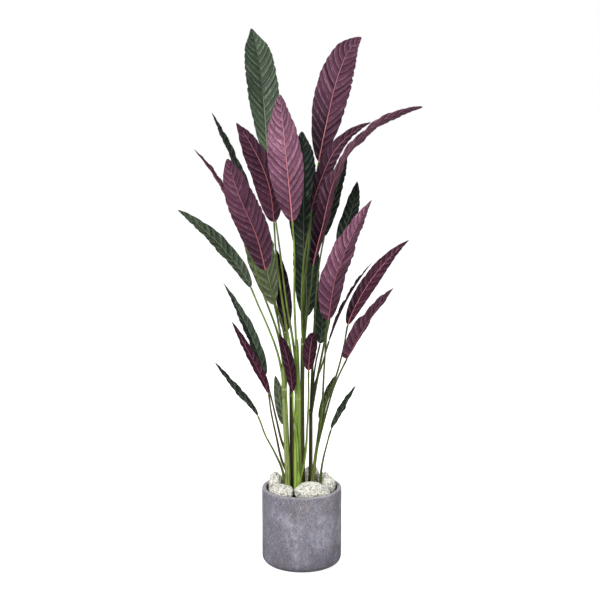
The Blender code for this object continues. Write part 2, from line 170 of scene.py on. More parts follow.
def plug(tree, value, socket):
    """Feed a socket from a formula, from another socket or with a plain value."""
    if isinstance(value, Field):
        value = value.socket
    if isinstance(value, bpy.types.NodeSocket):
        tree.links.new(value, socket)
    else:
        socket.default_value = value


def add_node(tree, kind, inputs=None, **settings):
    """Add a node with its settings, and feed the inputs that are named or numbered."""
    node = tree.nodes.new(kind)
    for name, value in settings.items():
        setattr(node, name, value)
    for key, value in (inputs or {}).items():
        plug(tree, value, node.inputs[key])
    return node


class Field:
    """A number that changes over a surface, written in formulas like any other number."""

    def __init__(self, tree, socket):
        self.tree = tree
        self.socket = socket

    def calc(self, operation, *others):
        node = add_node(self.tree, "ShaderNodeMath", operation=operation)
        for i, value in enumerate((self, *others)):
            plug(self.tree, value, node.inputs[i])
        return Field(self.tree, node.outputs[0])

    def __add__(self, other):
        return self.calc("ADD", other)

    def __radd__(self, other):
        return self.calc("ADD", other)

    def __sub__(self, other):
        return self.calc("SUBTRACT", other)

    def __rsub__(self, other):
        return self.calc("MULTIPLY", -1.0).calc("ADD", other)

    def __mul__(self, other):
        return self.calc("MULTIPLY", other)

    def __rmul__(self, other):
        return self.calc("MULTIPLY", other)

    def __truediv__(self, other):
        return self.calc("DIVIDE", other)

    def __pow__(self, other):
        return self.calc("POWER", other)

    def __abs__(self):
        return self.calc("ABSOLUTE")

    def step(self, low, high):
        """Goes smoothly from 0 at low to 1 at high."""
        node = add_node(self.tree, "ShaderNodeMapRange", {"Value": self, "From Min": low, "From Max": high},
                        interpolation_type="SMOOTHSTEP")
        return Field(self.tree, node.outputs["Result"])


print("formula class ready:", Field.__name__)

# %% [markdown]
# Places and directions are three numbers each, and have a node of their own for their formulas.
# The first helper adds such a node, and the second one takes the three numbers apart.

# %% Write formulas with arrows
def arrows(tree, operation, *vectors):
    """A vector formula: the sum, cross product or scaled copy of one or two arrows."""
    node = add_node(tree, "ShaderNodeVectorMath", operation=operation)
    for i, value in enumerate(vectors):
        spot = 3 if operation == "SCALE" and i == 1 else i
        plug(tree, value, node.inputs[spot])
    return node.outputs[0]


def split(tree, vector):
    """The three numbers that a vector is made of."""
    return [Field(tree, part) for part in add_node(tree, "ShaderNodeSeparateXYZ", {0: vector}).outputs]


print("arrow helpers ready:", arrows.__name__, "and", split.__name__)

# %% [markdown]
# Concrete, stone, stalks and leaves all show the same few effects at different sizes: cloudy
# patches, small pores, and fine streaks. Each effect is built once as a node group with named
# inputs, and each material places it with its own values. The groups give masks from 0 to 1.

# %% Build the shared surface effects
def effect(name, inputs):
    """A shader node group with a vector input, named number inputs and one mask output."""
    group = bpy.data.node_groups.new(name, "ShaderNodeTree")
    group.interface.new_socket(name="Vector", in_out="INPUT", socket_type="NodeSocketVector")
    for label, value in inputs.items():
        socket = group.interface.new_socket(name=label, in_out="INPUT", socket_type="NodeSocketFloat")
        socket.default_value = value
    group.interface.new_socket(name="Mask", in_out="OUTPUT", socket_type="NodeSocketFloat")
    entry = group.nodes.new("NodeGroupInput")
    leave = group.nodes.new("NodeGroupOutput")
    return group, entry.outputs, leave.inputs["Mask"]


def build_clouds():
    """Soft patches of several sizes at once, as in cast or weathered surfaces."""
    group, given, mask = effect("Clouds", {
        "Scale": 10.0, "Detail": 5.0, "Rough": 0.62, "Low": 0.4, "High": 0.6})
    texture = add_node(group, "ShaderNodeTexNoise", {
        "Vector": given["Vector"], "Scale": given["Scale"], "Detail": given["Detail"],
        "Roughness": given["Rough"]})
    plug(group, Field(group, texture.outputs[0]).step(given["Low"], given["High"]), mask)
    return group


def build_pores():
    """Small round pits that are scattered unevenly."""
    group, given, mask = effect("Pores", {"Scale": 200.0, "Size": 0.25, "Share": 0.5})
    cells = add_node(group, "ShaderNodeTexVoronoi", {"Vector": given["Vector"], "Scale": given["Scale"]})
    pit = 1 - Field(group, cells.outputs["Distance"]).step(0.0, given["Size"])
    chosen = split(group, cells.outputs["Color"])[0].calc("LESS_THAN", given["Share"])
    plug(group, pit * chosen, mask)
    return group


CLOUDS = build_clouds()
PORES = build_pores()


def place_effect(tree, group, vector, **values):
    """Put an effect in a material with its own values, and give its mask."""
    node = add_node(tree, "ShaderNodeGroup", node_tree=group)
    plug(tree, vector, node.inputs["Vector"])
    for label, value in values.items():
        plug(tree, value, node.inputs[label])
    return Field(tree, node.outputs["Mask"])


print("effects:", CLOUDS.name, PORES.name)

# %% [markdown]
# A material starts from the Principled shader, and its colours are mixed in layers: a base, then
# each mask lays another colour over it. Colours below are linear values between 0 and 1. Patterns
# read Object coordinates, which equal the model's own metres because every piece is at the origin.

# %% Start a material and mix its colours
def shader_of(material):
    return material.node_tree.nodes["Principled BSDF"]


def start_material(name, roughness, gloss=0.5):
    """A new material, with its tree and the place of each point in metres."""
    material = bpy.data.materials.new(name)
    material.use_nodes = True
    shader = shader_of(material)
    shader.inputs["Roughness"].default_value = roughness
    shader.inputs["Specular IOR Level"].default_value = gloss
    tree = material.node_tree
    return material, tree, add_node(tree, "ShaderNodeTexCoord").outputs["Object"]


def layer(tree, under, over, mask, blend="MIX"):
    """Lay one colour over another where the mask is 1."""
    node = add_node(tree, "ShaderNodeMix", data_type="RGBA", blend_type=blend)
    for value, socket in ((mask, node.inputs[0]), (under, node.inputs[6]), (over, node.inputs[7])):
        plug(tree, (*value, 1) if isinstance(value, tuple) else value, socket)
    return node.outputs[2]


def layers(tree, colour, coats):
    """Lay several colours over the first one in turn, each with its mask."""
    for coat in coats:
        colour = layer(tree, colour, *coat)
    return colour


def stretched(tree, vector, scale):
    """The same pattern space, stretched along its axes."""
    return add_node(tree, "ShaderNodeMapping", {"Vector": vector, "Scale": scale}).outputs[0]


def read(tree, name):
    """A number that the mesh carries at each point."""
    return Field(tree, add_node(tree, "ShaderNodeAttribute", attribute_name=name).outputs["Fac"])


def finish_material(material, colour, relief, depth):
    """Give the shader its colour, and let a relief of this depth tilt the light on the surface."""
    tree = material.node_tree
    shader = shader_of(material)
    bump = add_node(tree, "ShaderNodeBump", {"Height": relief, "Distance": depth, "Strength": 1.0})
    plug(tree, bump.outputs[0], shader.inputs["Normal"])
    plug(tree, colour, shader.inputs["Base Color"])
    return material


print("material helpers ready")

# %% [markdown]
# The pot is cast concrete. Its grey leans to mauve, with warm, bluish, dark and pale clouds left by
# the wet mix, a dusting of fine grains, and pin holes where air was trapped, whose dark is painted
# shade. The cloudy layers are stretched and tilted a little, because such streaks follow the way
# the mix was poured. The foot is darker with painted shade, and the top of the lip is paler with a
# painted highlight. The heights between which each of these comes or goes are in metres above the
# floor.

# %% Mix the concrete
MAUVE_GREY = (0.162, 0.147, 0.184)
WARM_GREY = (0.232, 0.203, 0.214)
BLUE_GREY = (0.226, 0.217, 0.283)
DARK_CLOUD = (0.070, 0.062, 0.082)
PALE_CLOUD = (0.410, 0.397, 0.478)
HOLLOW_GREY = (0.070, 0.064, 0.078)
GRAIN_GREY = (0.430, 0.420, 0.480)
DUST_GREY = (0.620, 0.620, 0.700)
# Painted shade in the pin holes and at the foot, and a painted highlight on the top of the lip.
PIT_SHADE = (0.035, 0.030, 0.040)
FOOT_SHADE = (0.085, 0.078, 0.100)
LIP_HIGHLIGHT = (0.400, 0.378, 0.392)
WARM_FROM = 0.02
WARM_AT = 0.20
# Heights of the painted shade at the foot and of the painted highlight on the lip.
FOOT_SHADE_UP_TO = 0.09
LIP_HIGHLIGHT_FROM = 0.2095
LIP_HIGHLIGHT_AT = 0.2125


def concrete():
    material, tree, place = start_material("pot_concrete", roughness=0.86)
    slanted = add_node(tree, "ShaderNodeMapping", {
        "Vector": place, "Rotation": (0.0, 0.5, 0.2), "Scale": (1.0, 1.0, 0.6)}).outputs[0]
    height = split(tree, place)[2]
    brown = place_effect(tree, CLOUDS, slanted, Scale=7.0, Detail=6.0, Low=0.40, High=0.60)
    blue = place_effect(tree, CLOUDS, slanted, Scale=15.0, Detail=12.0, Rough=0.75, Low=0.46, High=0.60)
    pale = place_effect(tree, CLOUDS, slanted, Scale=13.0, Detail=6.0, Low=0.50, High=0.64)
    dark = place_effect(tree, CLOUDS, place, Scale=40.0, Detail=15.0, Rough=0.85, Low=0.48, High=0.60)
    strokes = place_effect(tree, CLOUDS, stretched(tree, slanted, (1.0, 1.0, 0.2)), Scale=260.0, Detail=3.0,
                           Low=0.62, High=0.70)
    grain = place_effect(tree, CLOUDS, place, Scale=380.0, Detail=6.0, Rough=0.8, Low=0.42, High=0.58)
    mottle = place_effect(tree, CLOUDS, place, Scale=260.0, Detail=6.0, Rough=0.7, Low=0.36, High=0.64)
    broken = place_effect(tree, CLOUDS, slanted, Scale=75.0, Detail=8.0, Rough=0.75, Low=0.40, High=0.58)
    dust = place_effect(tree, PORES, place, Scale=300.0, Size=0.5, Share=0.16)
    pits = place_effect(tree, PORES, place, Scale=190.0, Size=0.38, Share=0.22)
    colour = layers(tree, MAUVE_GREY, (
        (WARM_GREY, brown * height.step(WARM_FROM, WARM_AT)),
        (BLUE_GREY, blue * 0.8),
        (DARK_CLOUD, dark * 0.5),
        (PALE_CLOUD, pale * (0.25 + broken * 0.6)),
        (HOLLOW_GREY, (1 - broken) * 0.22 + (1 - mottle) * 0.30),
        (GRAIN_GREY, mottle * mottle * 0.32 + grain * 0.12),
        (DUST_GREY, strokes * 0.6 + dust * 0.45),
        # Painted shade in the pin holes and at the foot, and a painted highlight on the top of the lip:
        (PIT_SHADE, pits * 0.65),
        (FOOT_SHADE, (1 - height.step(0.0, FOOT_SHADE_UP_TO)) * 0.45),
        (LIP_HIGHLIGHT, height.step(LIP_HIGHLIGHT_FROM, LIP_HIGHLIGHT_AT) * (0.25 + mottle * 0.5)),
    ))
    relief = grain * 0.3 + mottle * 0.4 + pale * 0.3 - dark * 0.3 - pits
    return finish_material(material, colour, relief, depth=0.0016)


CONCRETE = concrete()
print("mixed", CONCRETE.name)

# %% [markdown]
# The stones are a light, porous volcanic kind, cream with grey flecks. Their lumps and larger pits
# are in the mesh, and the material adds the flecks and the finest holes, whose dark is painted
# shade. The pits and crevices of the mesh are painted darker as well, as painted shade. The soil is
# only two browns in small patches, because little of it shows.

# %% Mix the stone and the soil
CREAM = (0.69, 0.68, 0.62)
WARM_CREAM = (0.77, 0.75, 0.66)
FLECK_GREY = (0.17, 0.17, 0.14)
# Painted shade: the dark of the finest holes and of the pits and crevices.
HOLE_SHADE = (0.10, 0.09, 0.07)
CREVICE_SHADE = (0.09, 0.08, 0.06)
SOIL_DARK = (0.020, 0.014, 0.010)
SOIL_LIGHT = (0.075, 0.050, 0.033)


def pale_stone():
    material, tree, place = start_material("pale_stone", roughness=0.9)
    warm = place_effect(tree, CLOUDS, place, Scale=45.0, Detail=4.0, Low=0.4, High=0.65)
    fleck = place_effect(tree, CLOUDS, place, Scale=300.0, Detail=6.0, Low=0.52, High=0.60)
    holes = place_effect(tree, PORES, place, Scale=380.0, Size=0.50, Share=0.60)
    deep = read(tree, "depth")
    colour = layers(tree, CREAM, (
        (WARM_CREAM, warm),
        (FLECK_GREY, fleck * 0.65),
        # Painted shade in the holes and, by depth, in the pits and crevices:
        (HOLE_SHADE, holes * 0.75),
        (CREVICE_SHADE, deep * 0.9),
    ))
    return finish_material(material, colour, warm * 0.3 - holes - fleck * 0.5, depth=0.0016)


def potting_soil():
    material, tree, place = start_material("soil", roughness=0.95)
    light = place_effect(tree, CLOUDS, place, Scale=260.0, Detail=4.0, Low=0.45, High=0.7)
    colour = layer(tree, SOIL_DARK, SOIL_LIGHT, light)
    return finish_material(material, colour, light, depth=0.0015)


PALE_STONE = pale_stone()
SOIL = potting_soil()
print("mixed", PALE_STONE.name, "and", SOIL.name)

# %% [markdown]
# A stalk is smooth and fleshy, with long fibres that show as faint streaks. The stout shoots are
# fresh green, and the thin dark ones are brown near the soil and turn green where their stalks
# part. So each stem material goes from a low to a high colour between two heights. The meshes carry
# "age", which leads from the low colour to the old one, "crease", which paints shade into the folds
# between wrapped stalks and a stripe of shade up one side of each stalk, and "ring", which is 1 on
# the pale ring where a wrapping ends.

# %% Mix the stems
Stem = namedtuple("Stem", "name low old high turn_from turn_to fibre")
STEMS = (
    Stem("stem_green", (0.260, 0.430, 0.042), (0.215, 0.260, 0.078), (0.125, 0.205, 0.026), 0.42, 0.72,
         (0.330, 0.450, 0.110)),
    Stem("stem_olive", (0.085, 0.120, 0.018), (0.100, 0.120, 0.030), (0.110, 0.165, 0.024), 0.20, 0.45,
         (0.250, 0.290, 0.070)),
    Stem("stem_dark", (0.054, 0.048, 0.012), (0.070, 0.066, 0.020), (0.090, 0.140, 0.022), 0.42, 0.66,
         (0.150, 0.150, 0.045)),
)
STEM_SHADE = (0.036, 0.046, 0.007)
# Painted shade in the folds of the trunks and along one side of the stalks.
CREASE_SHADE = (0.022, 0.030, 0.006)
RING_PALE = (0.360, 0.410, 0.180)


def stem_material(stem):
    material, tree, place = start_material(stem.name, roughness=0.42, gloss=0.35)
    height = split(tree, place)[2]
    long = stretched(tree, place, (1.0, 1.0, 0.03))
    fibres = place_effect(tree, CLOUDS, long, Scale=420.0, Detail=3.0, Low=0.48, High=0.64)
    shade = place_effect(tree, CLOUDS, stretched(tree, place, (1.0, 1.0, 0.25)),
                         Scale=90.0, Detail=3.0, Low=0.46, High=0.7)
    colour = layers(tree, stem.low, (
        (stem.old, read(tree, "age")),
        (stem.high, height.step(stem.turn_from, stem.turn_to)),
        (stem.fibre, fibres * 0.55),
        (STEM_SHADE, shade * 0.65),
        # Painted shade in the creases of the trunks and on one side of the stalks:
        (CREASE_SHADE, read(tree, "crease") * 0.8),
        (RING_PALE, read(tree, "ring")),
    ))
    return finish_material(material, colour, fibres, depth=0.0004)


STEM_MATERIALS = {stem.name: stem_material(stem) for stem in STEMS}
print("mixed", ", ".join(STEM_MATERIALS))

# %% [markdown]
# Both faces of a blade show the same build: a midrib, side veins that sweep towards the tip, and
# bands between them. The bands are puffed like the tiles of a roof, and their light and shade are
# painted on: a band is lightest just past its vein, with a painted highlight, and darkens towards
# the next one with painted shade, and the dark groove along each vein is painted shade as well.
# Fine streaks run along the bands, and blotches and fine grain of the leaf's own colour lie over
# them. The blade's mesh carries where each point lies on that pattern, so the colours follow it
# exactly: "vein" counts the bands, "spread" goes from 0 at the midrib to 1 at the edge, "tone" says
# how light that part of that leaf is painted, as painted light and shade, where a low value lays a
# painted shade of almost black over it, and "warmth" how far its hue leans to olive on the green
# face, or to wine red on the purple one. A painted highlight, the glint, lies on the ridge just
# past each vein. A pale line marks the midrib on both faces.

# %% Mix the two faces of a leaf
LeafFace = namedtuple("LeafFace", "name groove shade band light deep warm line line_width glint")
LEAF_FACES = (
    LeafFace("leaf_green", (0.008, 0.015, 0.010), (0.036, 0.060, 0.038), (0.098, 0.135, 0.092),
             (0.260, 0.310, 0.235), (0.004, 0.008, 0.006), (1.25, 1.02, 0.60),
             (0.290, 0.330, 0.210), 0.0010, 0.34),
    LeafFace("leaf_purple", (0.026, 0.007, 0.017), (0.135, 0.044, 0.082), (0.350, 0.150, 0.235),
             (0.640, 0.370, 0.500), (0.008, 0.001, 0.006), (0.85, 0.40, 0.55),
             (0.600, 0.290, 0.340), 0.0012, 0.15),
)


def leaf_face(face):
    material, tree, place = start_material(face.name, roughness=0.55, gloss=0.1)
    vein = read(tree, "vein")
    spread = read(tree, "spread")
    tone = read(tree, "tone") ** 1.8
    past = vein.calc("FRACT")
    groove = 1 - past.calc("PINGPONG", 0.5).step(0.01, 0.10)
    streak_space = add_node(tree, "ShaderNodeCombineXYZ", {0: vein, 1: spread * 0.7, 2: 0.0}).outputs[0]
    streaks = place_effect(tree, CLOUDS, streak_space, Scale=8.0, Detail=6.0, Low=0.38, High=0.66)
    blotches = place_effect(tree, CLOUDS, place, Scale=30.0, Detail=6.0, Low=0.45, High=0.70)
    cells = place_effect(tree, CLOUDS, place, Scale=420.0, Detail=4.0, Rough=0.8, Low=0.38, High=0.62)
    ridge = past.step(0.04, 0.12) * (1 - past.step(0.18, 0.45)) * spread.step(0.05, 0.25)
    line = 1 - read(tree, "from_rib").step(face.line_width * 0.4, face.line_width)
    # Painted light and shade: the ramp across each band, the highlight past each vein, the dark groove, the
    # near-black shade where "tone" is low, and the glint on the ridges.
    colour = layers(tree, face.band, (
        (face.shade, past.step(0.1, 1.0) * 0.8),
        (face.light, (1 - past.step(0.08, 0.7)) * streaks * tone * 0.85),
        (face.shade, (1 - streaks) * 0.6),
        (face.groove, blotches * 0.3),
        (face.light, cells * cells * tone * 0.22),
        (face.groove, (1 - cells) * 0.18),
        (face.groove, groove * (0.9 + blotches * 0.1)),
        (face.warm, read(tree, "warmth"), "MULTIPLY"),
        (face.deep, 1 - tone),
        (face.light, ridge * streaks * face.glint),
        (face.line, line * (0.3 + 0.6 * tone) * read(tree, "line")),
    ))
    return finish_material(material, colour, streaks * 0.7 + cells * 0.3, depth=0.0006)


LEAF_GREEN, LEAF_PURPLE = (leaf_face(face) for face in LEAF_FACES)
print("mixed", LEAF_GREEN.name, "and", LEAF_PURPLE.name)

# %% [markdown]
# The midrib that stands out from the purple face is smooth and fleshy, red at the foot of the blade
# and pinker towards its tip. On a leaf that shows its green face it is green too, and "tone" lays
# painted shade over the midrib of a leaf that is painted dark. One material does for all, because
# the mesh carries these numbers.

# %% Mix the midrib
RIB_RED = (0.680, 0.215, 0.220)
RIB_DEEP = (0.520, 0.150, 0.160)
RIB_TIP = (0.560, 0.270, 0.330)
RIB_SHADE = (0.100, 0.022, 0.042)
RIB_GREEN = (0.075, 0.100, 0.035)


def rib_material():
    material, tree, place = start_material("leaf_rib", roughness=0.45, gloss=0.3)
    patches = place_effect(tree, CLOUDS, place, Scale=120.0, Detail=3.0, Low=0.4, High=0.7)
    colour = layers(tree, RIB_RED, (
        (RIB_DEEP, patches),
        (RIB_TIP, read(tree, "up").step(0.30, 0.85)),
        # Painted shade over the midrib where "tone" is low.
        (RIB_SHADE, (1 - read(tree, "tone")) * 0.95),
        (RIB_GREEN, read(tree, "green_rib")),
    ))
    return finish_material(material, colour, patches, depth=0.0003)


RIB = rib_material()
print("mixed", RIB.name)

# %% [markdown]
# The floor and the wall get the plainest material of all: pale and matte, with a white glow.

# %% Finish the floor and the wall
def studio_white(name, grey, glow):
    material = start_material(name, roughness=0.9, gloss=0.0)[0]
    shader = shader_of(material)
    shader.inputs["Base Color"].default_value = (grey, grey, grey, 1)
    shader.inputs["Emission Color"].default_value = (1, 1, 1, 1)
    shader.inputs["Emission Strength"].default_value = glow
    return material


floor.data.materials.append(studio_white("pale_floor", 0.6, 0.80))
wall.data.materials.append(studio_white("pale_wall", 0.0, 1.0))
print("finished", floor.name, "and", wall.name)

# %% [markdown]
# A pot like this is turned or cast as one wall of even thickness, so it is a profile spun round
# its axis: half of its cut outline, from the middle of the floor inside, up the inner wall, over
# the rounded lip and down to the rounded foot. A cast wall is never quite true, so a slow, very
# small swell is added to it, and the foot stays flat.

# %% Turn the pot
POT_RADIUS = 0.110
POT_HEIGHT = 0.2145
POT_WALL = 0.012
POT_FLOOR = 0.016
FOOT_ROUND = 0.020
LIP_ROUND = 0.0045
POT_TURNS = 180
WALL_STEPS = 40
CORNER_STEPS = 6
FOOT_STEPS = 12
WALL_SWELL = 0.0005
SWELL_SCALE = 14
DENT_SCALE = 45
DENT_SHARE = 0.35
AXIS_CLEAR = 0.016
JOIN = 0.00001


def arc(middle, radius, start, end, count):
    """Points of a round corner, from one angle in degrees to another."""
    angles = [math.radians(start + (end - start) * i / count) for i in range(count + 1)]
    return [(middle[0] + radius * math.cos(a), middle[1] + radius * math.sin(a)) for a in angles]


def climb(start, end, count):
    """Points on the straight between two corners, without the two ends."""
    return [tuple(a + (b - a) * i / count for a, b in zip(start, end)) for i in range(1, count)]


def finish_piece(thing, node, slot):
    """Hide the solid that a finished piece stands for, and tie the piece to its body. The slot is not used.
    """
    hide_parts(node)
    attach(thing, BODY)
    return thing


def make_pot():
    inner = POT_RADIUS - POT_WALL
    inside = arc((inner - FOOT_ROUND + POT_WALL, POT_FLOOR + FOOT_ROUND - POT_WALL),
                 FOOT_ROUND - POT_WALL, -90, 0, CORNER_STEPS)
    lip = arc((inner + LIP_ROUND, POT_HEIGHT - LIP_ROUND), LIP_ROUND, 180, 90, CORNER_STEPS)
    lip += arc((POT_RADIUS - LIP_ROUND, POT_HEIGHT - LIP_ROUND), LIP_ROUND, 90, 0, CORNER_STEPS)
    foot = arc((POT_RADIUS - FOOT_ROUND, FOOT_ROUND), FOOT_ROUND, 0, -90, FOOT_STEPS)
    outline = [(0, POT_FLOOR)] + inside + climb(inside[-1], lip[0], WALL_STEPS)
    outline += lip + climb(lip[-1], foot[0], WALL_STEPS) + foot + [(0, 0)]
    shape = bmesh.new()
    corners = [shape.verts.new((radius, 0, height)) for radius, height in outline]
    edges = [shape.edges.new(pair) for pair in zip(corners, corners[1:])]
    bmesh.ops.spin(shape, geom=corners + edges, axis=(0, 0, 1), cent=(0, 0, 0),
                   angle=TURN, steps=POT_TURNS, use_merge=True)
    bmesh.ops.remove_doubles(shape, verts=shape.verts, dist=JOIN)
    bmesh.ops.recalc_face_normals(shape, faces=shape.faces)
    for corner in shape.verts:
        if corner.co.z > FOOT_ROUND / 2 and corner.co.xy.length > AXIS_CLEAR:
            swell = noise.noise(corner.co * SWELL_SCALE) + DENT_SHARE * noise.noise(corner.co * DENT_SCALE)
            corner.co += corner.co.xy.normalized().to_3d() * WALL_SWELL * swell
    mesh = to_mesh("concrete_pot", shape)
    mesh.shade_smooth()
    mesh.materials.append(CONCRETE)
    return finish_piece(add_object("concrete_pot", mesh), "pot", "pot_concrete")


pot = make_pot()
print("pot of", len(pot.data.polygons), "faces")

# %% [markdown]
# Geometry Nodes describe how to grow a mesh from a simpler one. The next helper makes an empty
# tree with named inputs, and the one after it runs a tree on a starting mesh and keeps the result
# as a plain mesh, which is what an exporter can read. The others are the steps that return in
# several trees: a number kept on the mesh, a ring swept along a line, and the last steps of a tree.

# %% Make and run a geometry tree
def geometry_tree(name, inputs):
    """An empty tree with a geometry input and output and the named inputs, and its end sockets."""
    tree = bpy.data.node_groups.new(name, "GeometryNodeTree")
    tree.interface.new_socket(name="Geometry", in_out="INPUT", socket_type="NodeSocketGeometry")
    for label, kind in inputs.items():
        tree.interface.new_socket(name=label, in_out="INPUT", socket_type=f"NodeSocket{kind}")
    tree.interface.new_socket(name="Geometry", in_out="OUTPUT", socket_type="NodeSocketGeometry")
    entry = tree.nodes.new("NodeGroupInput")
    leave = tree.nodes.new("NodeGroupOutput")
    given = {"Geometry": entry.outputs["Geometry"]}
    for label, kind in inputs.items():
        socket = entry.outputs[label]
        given[label] = Field(tree, socket) if kind in ("Float", "Int") else socket
    return tree, given, leave.inputs["Geometry"]


def grow(name, mesh, tree, values):
    """Run a tree on a mesh with these values, and keep what grows as a plain mesh."""
    thing = add_object(name, mesh)
    modifier = thing.modifiers.new("Grow", "NODES")
    modifier.node_group = tree
    for item in tree.interface.items_tree:
        if item.in_out == "INPUT" and item.name in values:
            modifier[item.identifier] = values[item.name]
    graph = bpy.context.evaluated_depsgraph_get()
    grown = bpy.data.meshes.new_from_object(thing.evaluated_get(graph))
    grown.name = name
    thing.modifiers.clear()
    thing.data = grown
    return thing


def remember(tree, geometry, name, value, domain="POINT", kind="FLOAT"):
    """Store a number on the mesh under a name that the materials read."""
    node = add_node(tree, "GeometryNodeStoreNamedAttribute", {"Geometry": geometry, "Name": name},
                    data_type=kind, domain=domain)
    plug(tree, value, node.inputs["Value"])
    return node.outputs[0]


def recall(tree, name, kind="FLOAT"):
    """Read back a value that the mesh or curve carries."""
    return add_node(tree, "GeometryNodeInputNamedAttribute", {"Name": name}, data_type=kind).outputs[0]


def dress(tree, geometry, material, chosen=None):
    """Set Material on all faces, or on the chosen ones."""
    node = add_node(tree, "GeometryNodeSetMaterial", {"Geometry": geometry, "Material": material})
    if chosen is not None:
        plug(tree, chosen, node.inputs["Selection"])
    return node.outputs[0]


def round_ring(tree, sides):
    """A circle of radius 1, to be swept along a line."""
    return add_node(tree, "GeometryNodeCurvePrimitiveCircle", {
        "Resolution": sides, "Radius": 1.0}).outputs[0]


def sweep(tree, line, ring, thick):
    """A closed tube: the ring swept along the line, as large as thick says at each point."""
    return add_node(tree, "GeometryNodeCurveToMesh", {
        "Curve": line, "Profile Curve": ring, "Scale": thick, "Fill Caps": True}).outputs[0]


def smooth_and_real(tree, geometry):
    """Shade it smooth, and turn whatever is still an instance into real faces."""
    smooth = add_node(tree, "GeometryNodeSetShadeSmooth", {0: geometry}).outputs[0]
    return add_node(tree, "GeometryNodeRealizeInstances", {0: smooth}).outputs[0]


print("geometry helpers ready")

# %% [markdown]
# The stones start as the same lumpy balls as their solids: a ball of equal triangles that two
# noises make uneven, cut flat below, stretched to its three sizes, turned, and laid on the soil.

# %% List the stones and shape their balls
SOIL_TOP = 0.195
SEAT = 0.0003
STONE_FLAT = 0.72
LUMP_HEIGHT = 0.16
LUMP_SCALE = 1.6
BUMP_HEIGHT = 0.05
BUMP_SCALE = 4.0

# Each stone has its middle and its half sizes across, deep and high, in centimetres, its turn in
# degrees, and how often its faces are split.
Stone = namedtuple("Stone", "name middle size turn splits")
STONES = (
    Stone("stone_front", (2.6, -5.6), (4.8, 2.5, 2.8), 3, 3),
    Stone("stone_front_left", (-5.3, -4.6), (3.3, 2.4, 2.2), -20, 3),
    Stone("stone_left", (-7.35, 1.4), (1.85, 2.6, 3.2), 6, 3),
    Stone("stone_back_left", (-3.2, 6.2), (3.2, 2.3, 2.4), 18, 3),
    Stone("stone_back", (2.8, 7.2), (2.2, 1.7, 3.3), 0, 3),
    Stone("stone_back_right", (6.4, 4.4), (1.9, 1.7, 2.6), -35, 3),
    Stone("stone_right", (7.55, -0.6), (1.75, 2.5, 2.8), -4, 3),
    Stone("stone_chip", (-8.5, -2.0), (0.7, 0.8, 1.2), 0, 2),
    Stone("stone_inner", (1.4, -0.8), (0.7, 0.8, 1.6), 30, 2),
    Stone("stone_inner_left", (-1.6, 2.8), (1.0, 0.8, 1.5), 30, 2),
)


def stone_ball(stone):
    """The lumpy ball with a flat underside that the solid has too, on the soil."""
    width, depth, height = (half * CM for half in stone.size)
    shape = bmesh.new()
    bmesh.ops.create_icosphere(shape, subdivisions=stone.splits + 1, radius=1)
    seed = Vector((stone.middle[0], stone.middle[1], stone.size[0]))
    for corner in shape.verts:
        lump = LUMP_HEIGHT * noise.noise(corner.co * LUMP_SCALE + seed)
        bump = BUMP_HEIGHT * noise.noise(corner.co * BUMP_SCALE + seed)
        corner.co *= 1 + lump + bump
        corner.co.z = max(corner.co.z, -STONE_FLAT)
    rest = SOIL_TOP + SEAT + STONE_FLAT * height
    place = Matrix.Translation((stone.middle[0] * CM, stone.middle[1] * CM, rest))
    turn = Matrix.Rotation(math.radians(stone.turn), 4, "Z")
    size = Matrix.Diagonal((width, depth, height, 1))
    bmesh.ops.transform(shape, verts=shape.verts, matrix=place @ turn @ size)
    return to_mesh(f"{stone.name}_ball", shape)


print("stones:", len(STONES))

# %% [markdown]
# A geometry tree then splits the faces of each ball and moves each point along its normal: a rough
# noise pushes it out, and the cells of two Voronoi patterns, bent a little by the same noise, press
# in the pits and the smaller holes. It also stores how far down in a pit a point lies, so that the
# material can paint shade into the crevices.

# %% Roughen the stones
ROUGH_SCALE = 95.0
ROUGH_HEIGHT = 0.0044
ROUGH_SPLITS = 2
BEND = 0.006
PIT_SCALE = 150.0
PIT_DEPTH = 0.0024
HOLE_SCALE = 330.0
HOLE_SHARE = 0.45


def stone_tree():
    tree, given, end = geometry_tree("Porous stone", {
        "Splits": "Int", "Lump": "Float", "Pit": "Float", "Material": "Material"})
    fine = add_node(tree, "GeometryNodeSubdivideMesh", {
        0: given["Geometry"], 1: given["Splits"]}).outputs[0]
    where = add_node(tree, "GeometryNodeInputPosition").outputs[0]
    lumps = add_node(tree, "ShaderNodeTexNoise", {"Vector": where, "Scale": ROUGH_SCALE, "Detail": 4.0})
    bent = arrows(tree, "ADD", where, arrows(tree, "SCALE", lumps.outputs["Color"], BEND))
    cells = add_node(tree, "ShaderNodeTexVoronoi", {"Vector": bent, "Scale": PIT_SCALE})
    pit = 1 - Field(tree, cells.outputs["Distance"]).step(0.12, 0.52)
    small = add_node(tree, "ShaderNodeTexVoronoi", {"Vector": bent, "Scale": HOLE_SCALE})
    hole = 1 - Field(tree, small.outputs["Distance"]).step(0.1, 0.5)
    push = (Field(tree, lumps.outputs[0]) - 0.5) * given["Lump"] - (pit + hole * HOLE_SHARE) * given["Pit"]
    normal = add_node(tree, "GeometryNodeInputNormal").outputs[0]
    kept = remember(tree, fine, "depth", (pit * 0.55 + hole * 0.45) * 0.9)
    moved = add_node(tree, "GeometryNodeSetPosition", {
        "Geometry": kept, "Offset": arrows(tree, "SCALE", normal, push)}).outputs[0]
    plug(tree, dress(tree, smooth_and_real(tree, moved), given["Material"]), end)
    return tree


STONE_TREE = stone_tree()
for stone in STONES:
    rough = grow(f"rough_{stone.name}", stone_ball(stone), STONE_TREE, {
        "Splits": ROUGH_SPLITS, "Lump": ROUGH_HEIGHT, "Pit": PIT_DEPTH, "Material": PALE_STONE})
    finish_piece(rough, stone.name, "pale_stone")
print("stone tree of", len(STONE_TREE.nodes), "nodes")

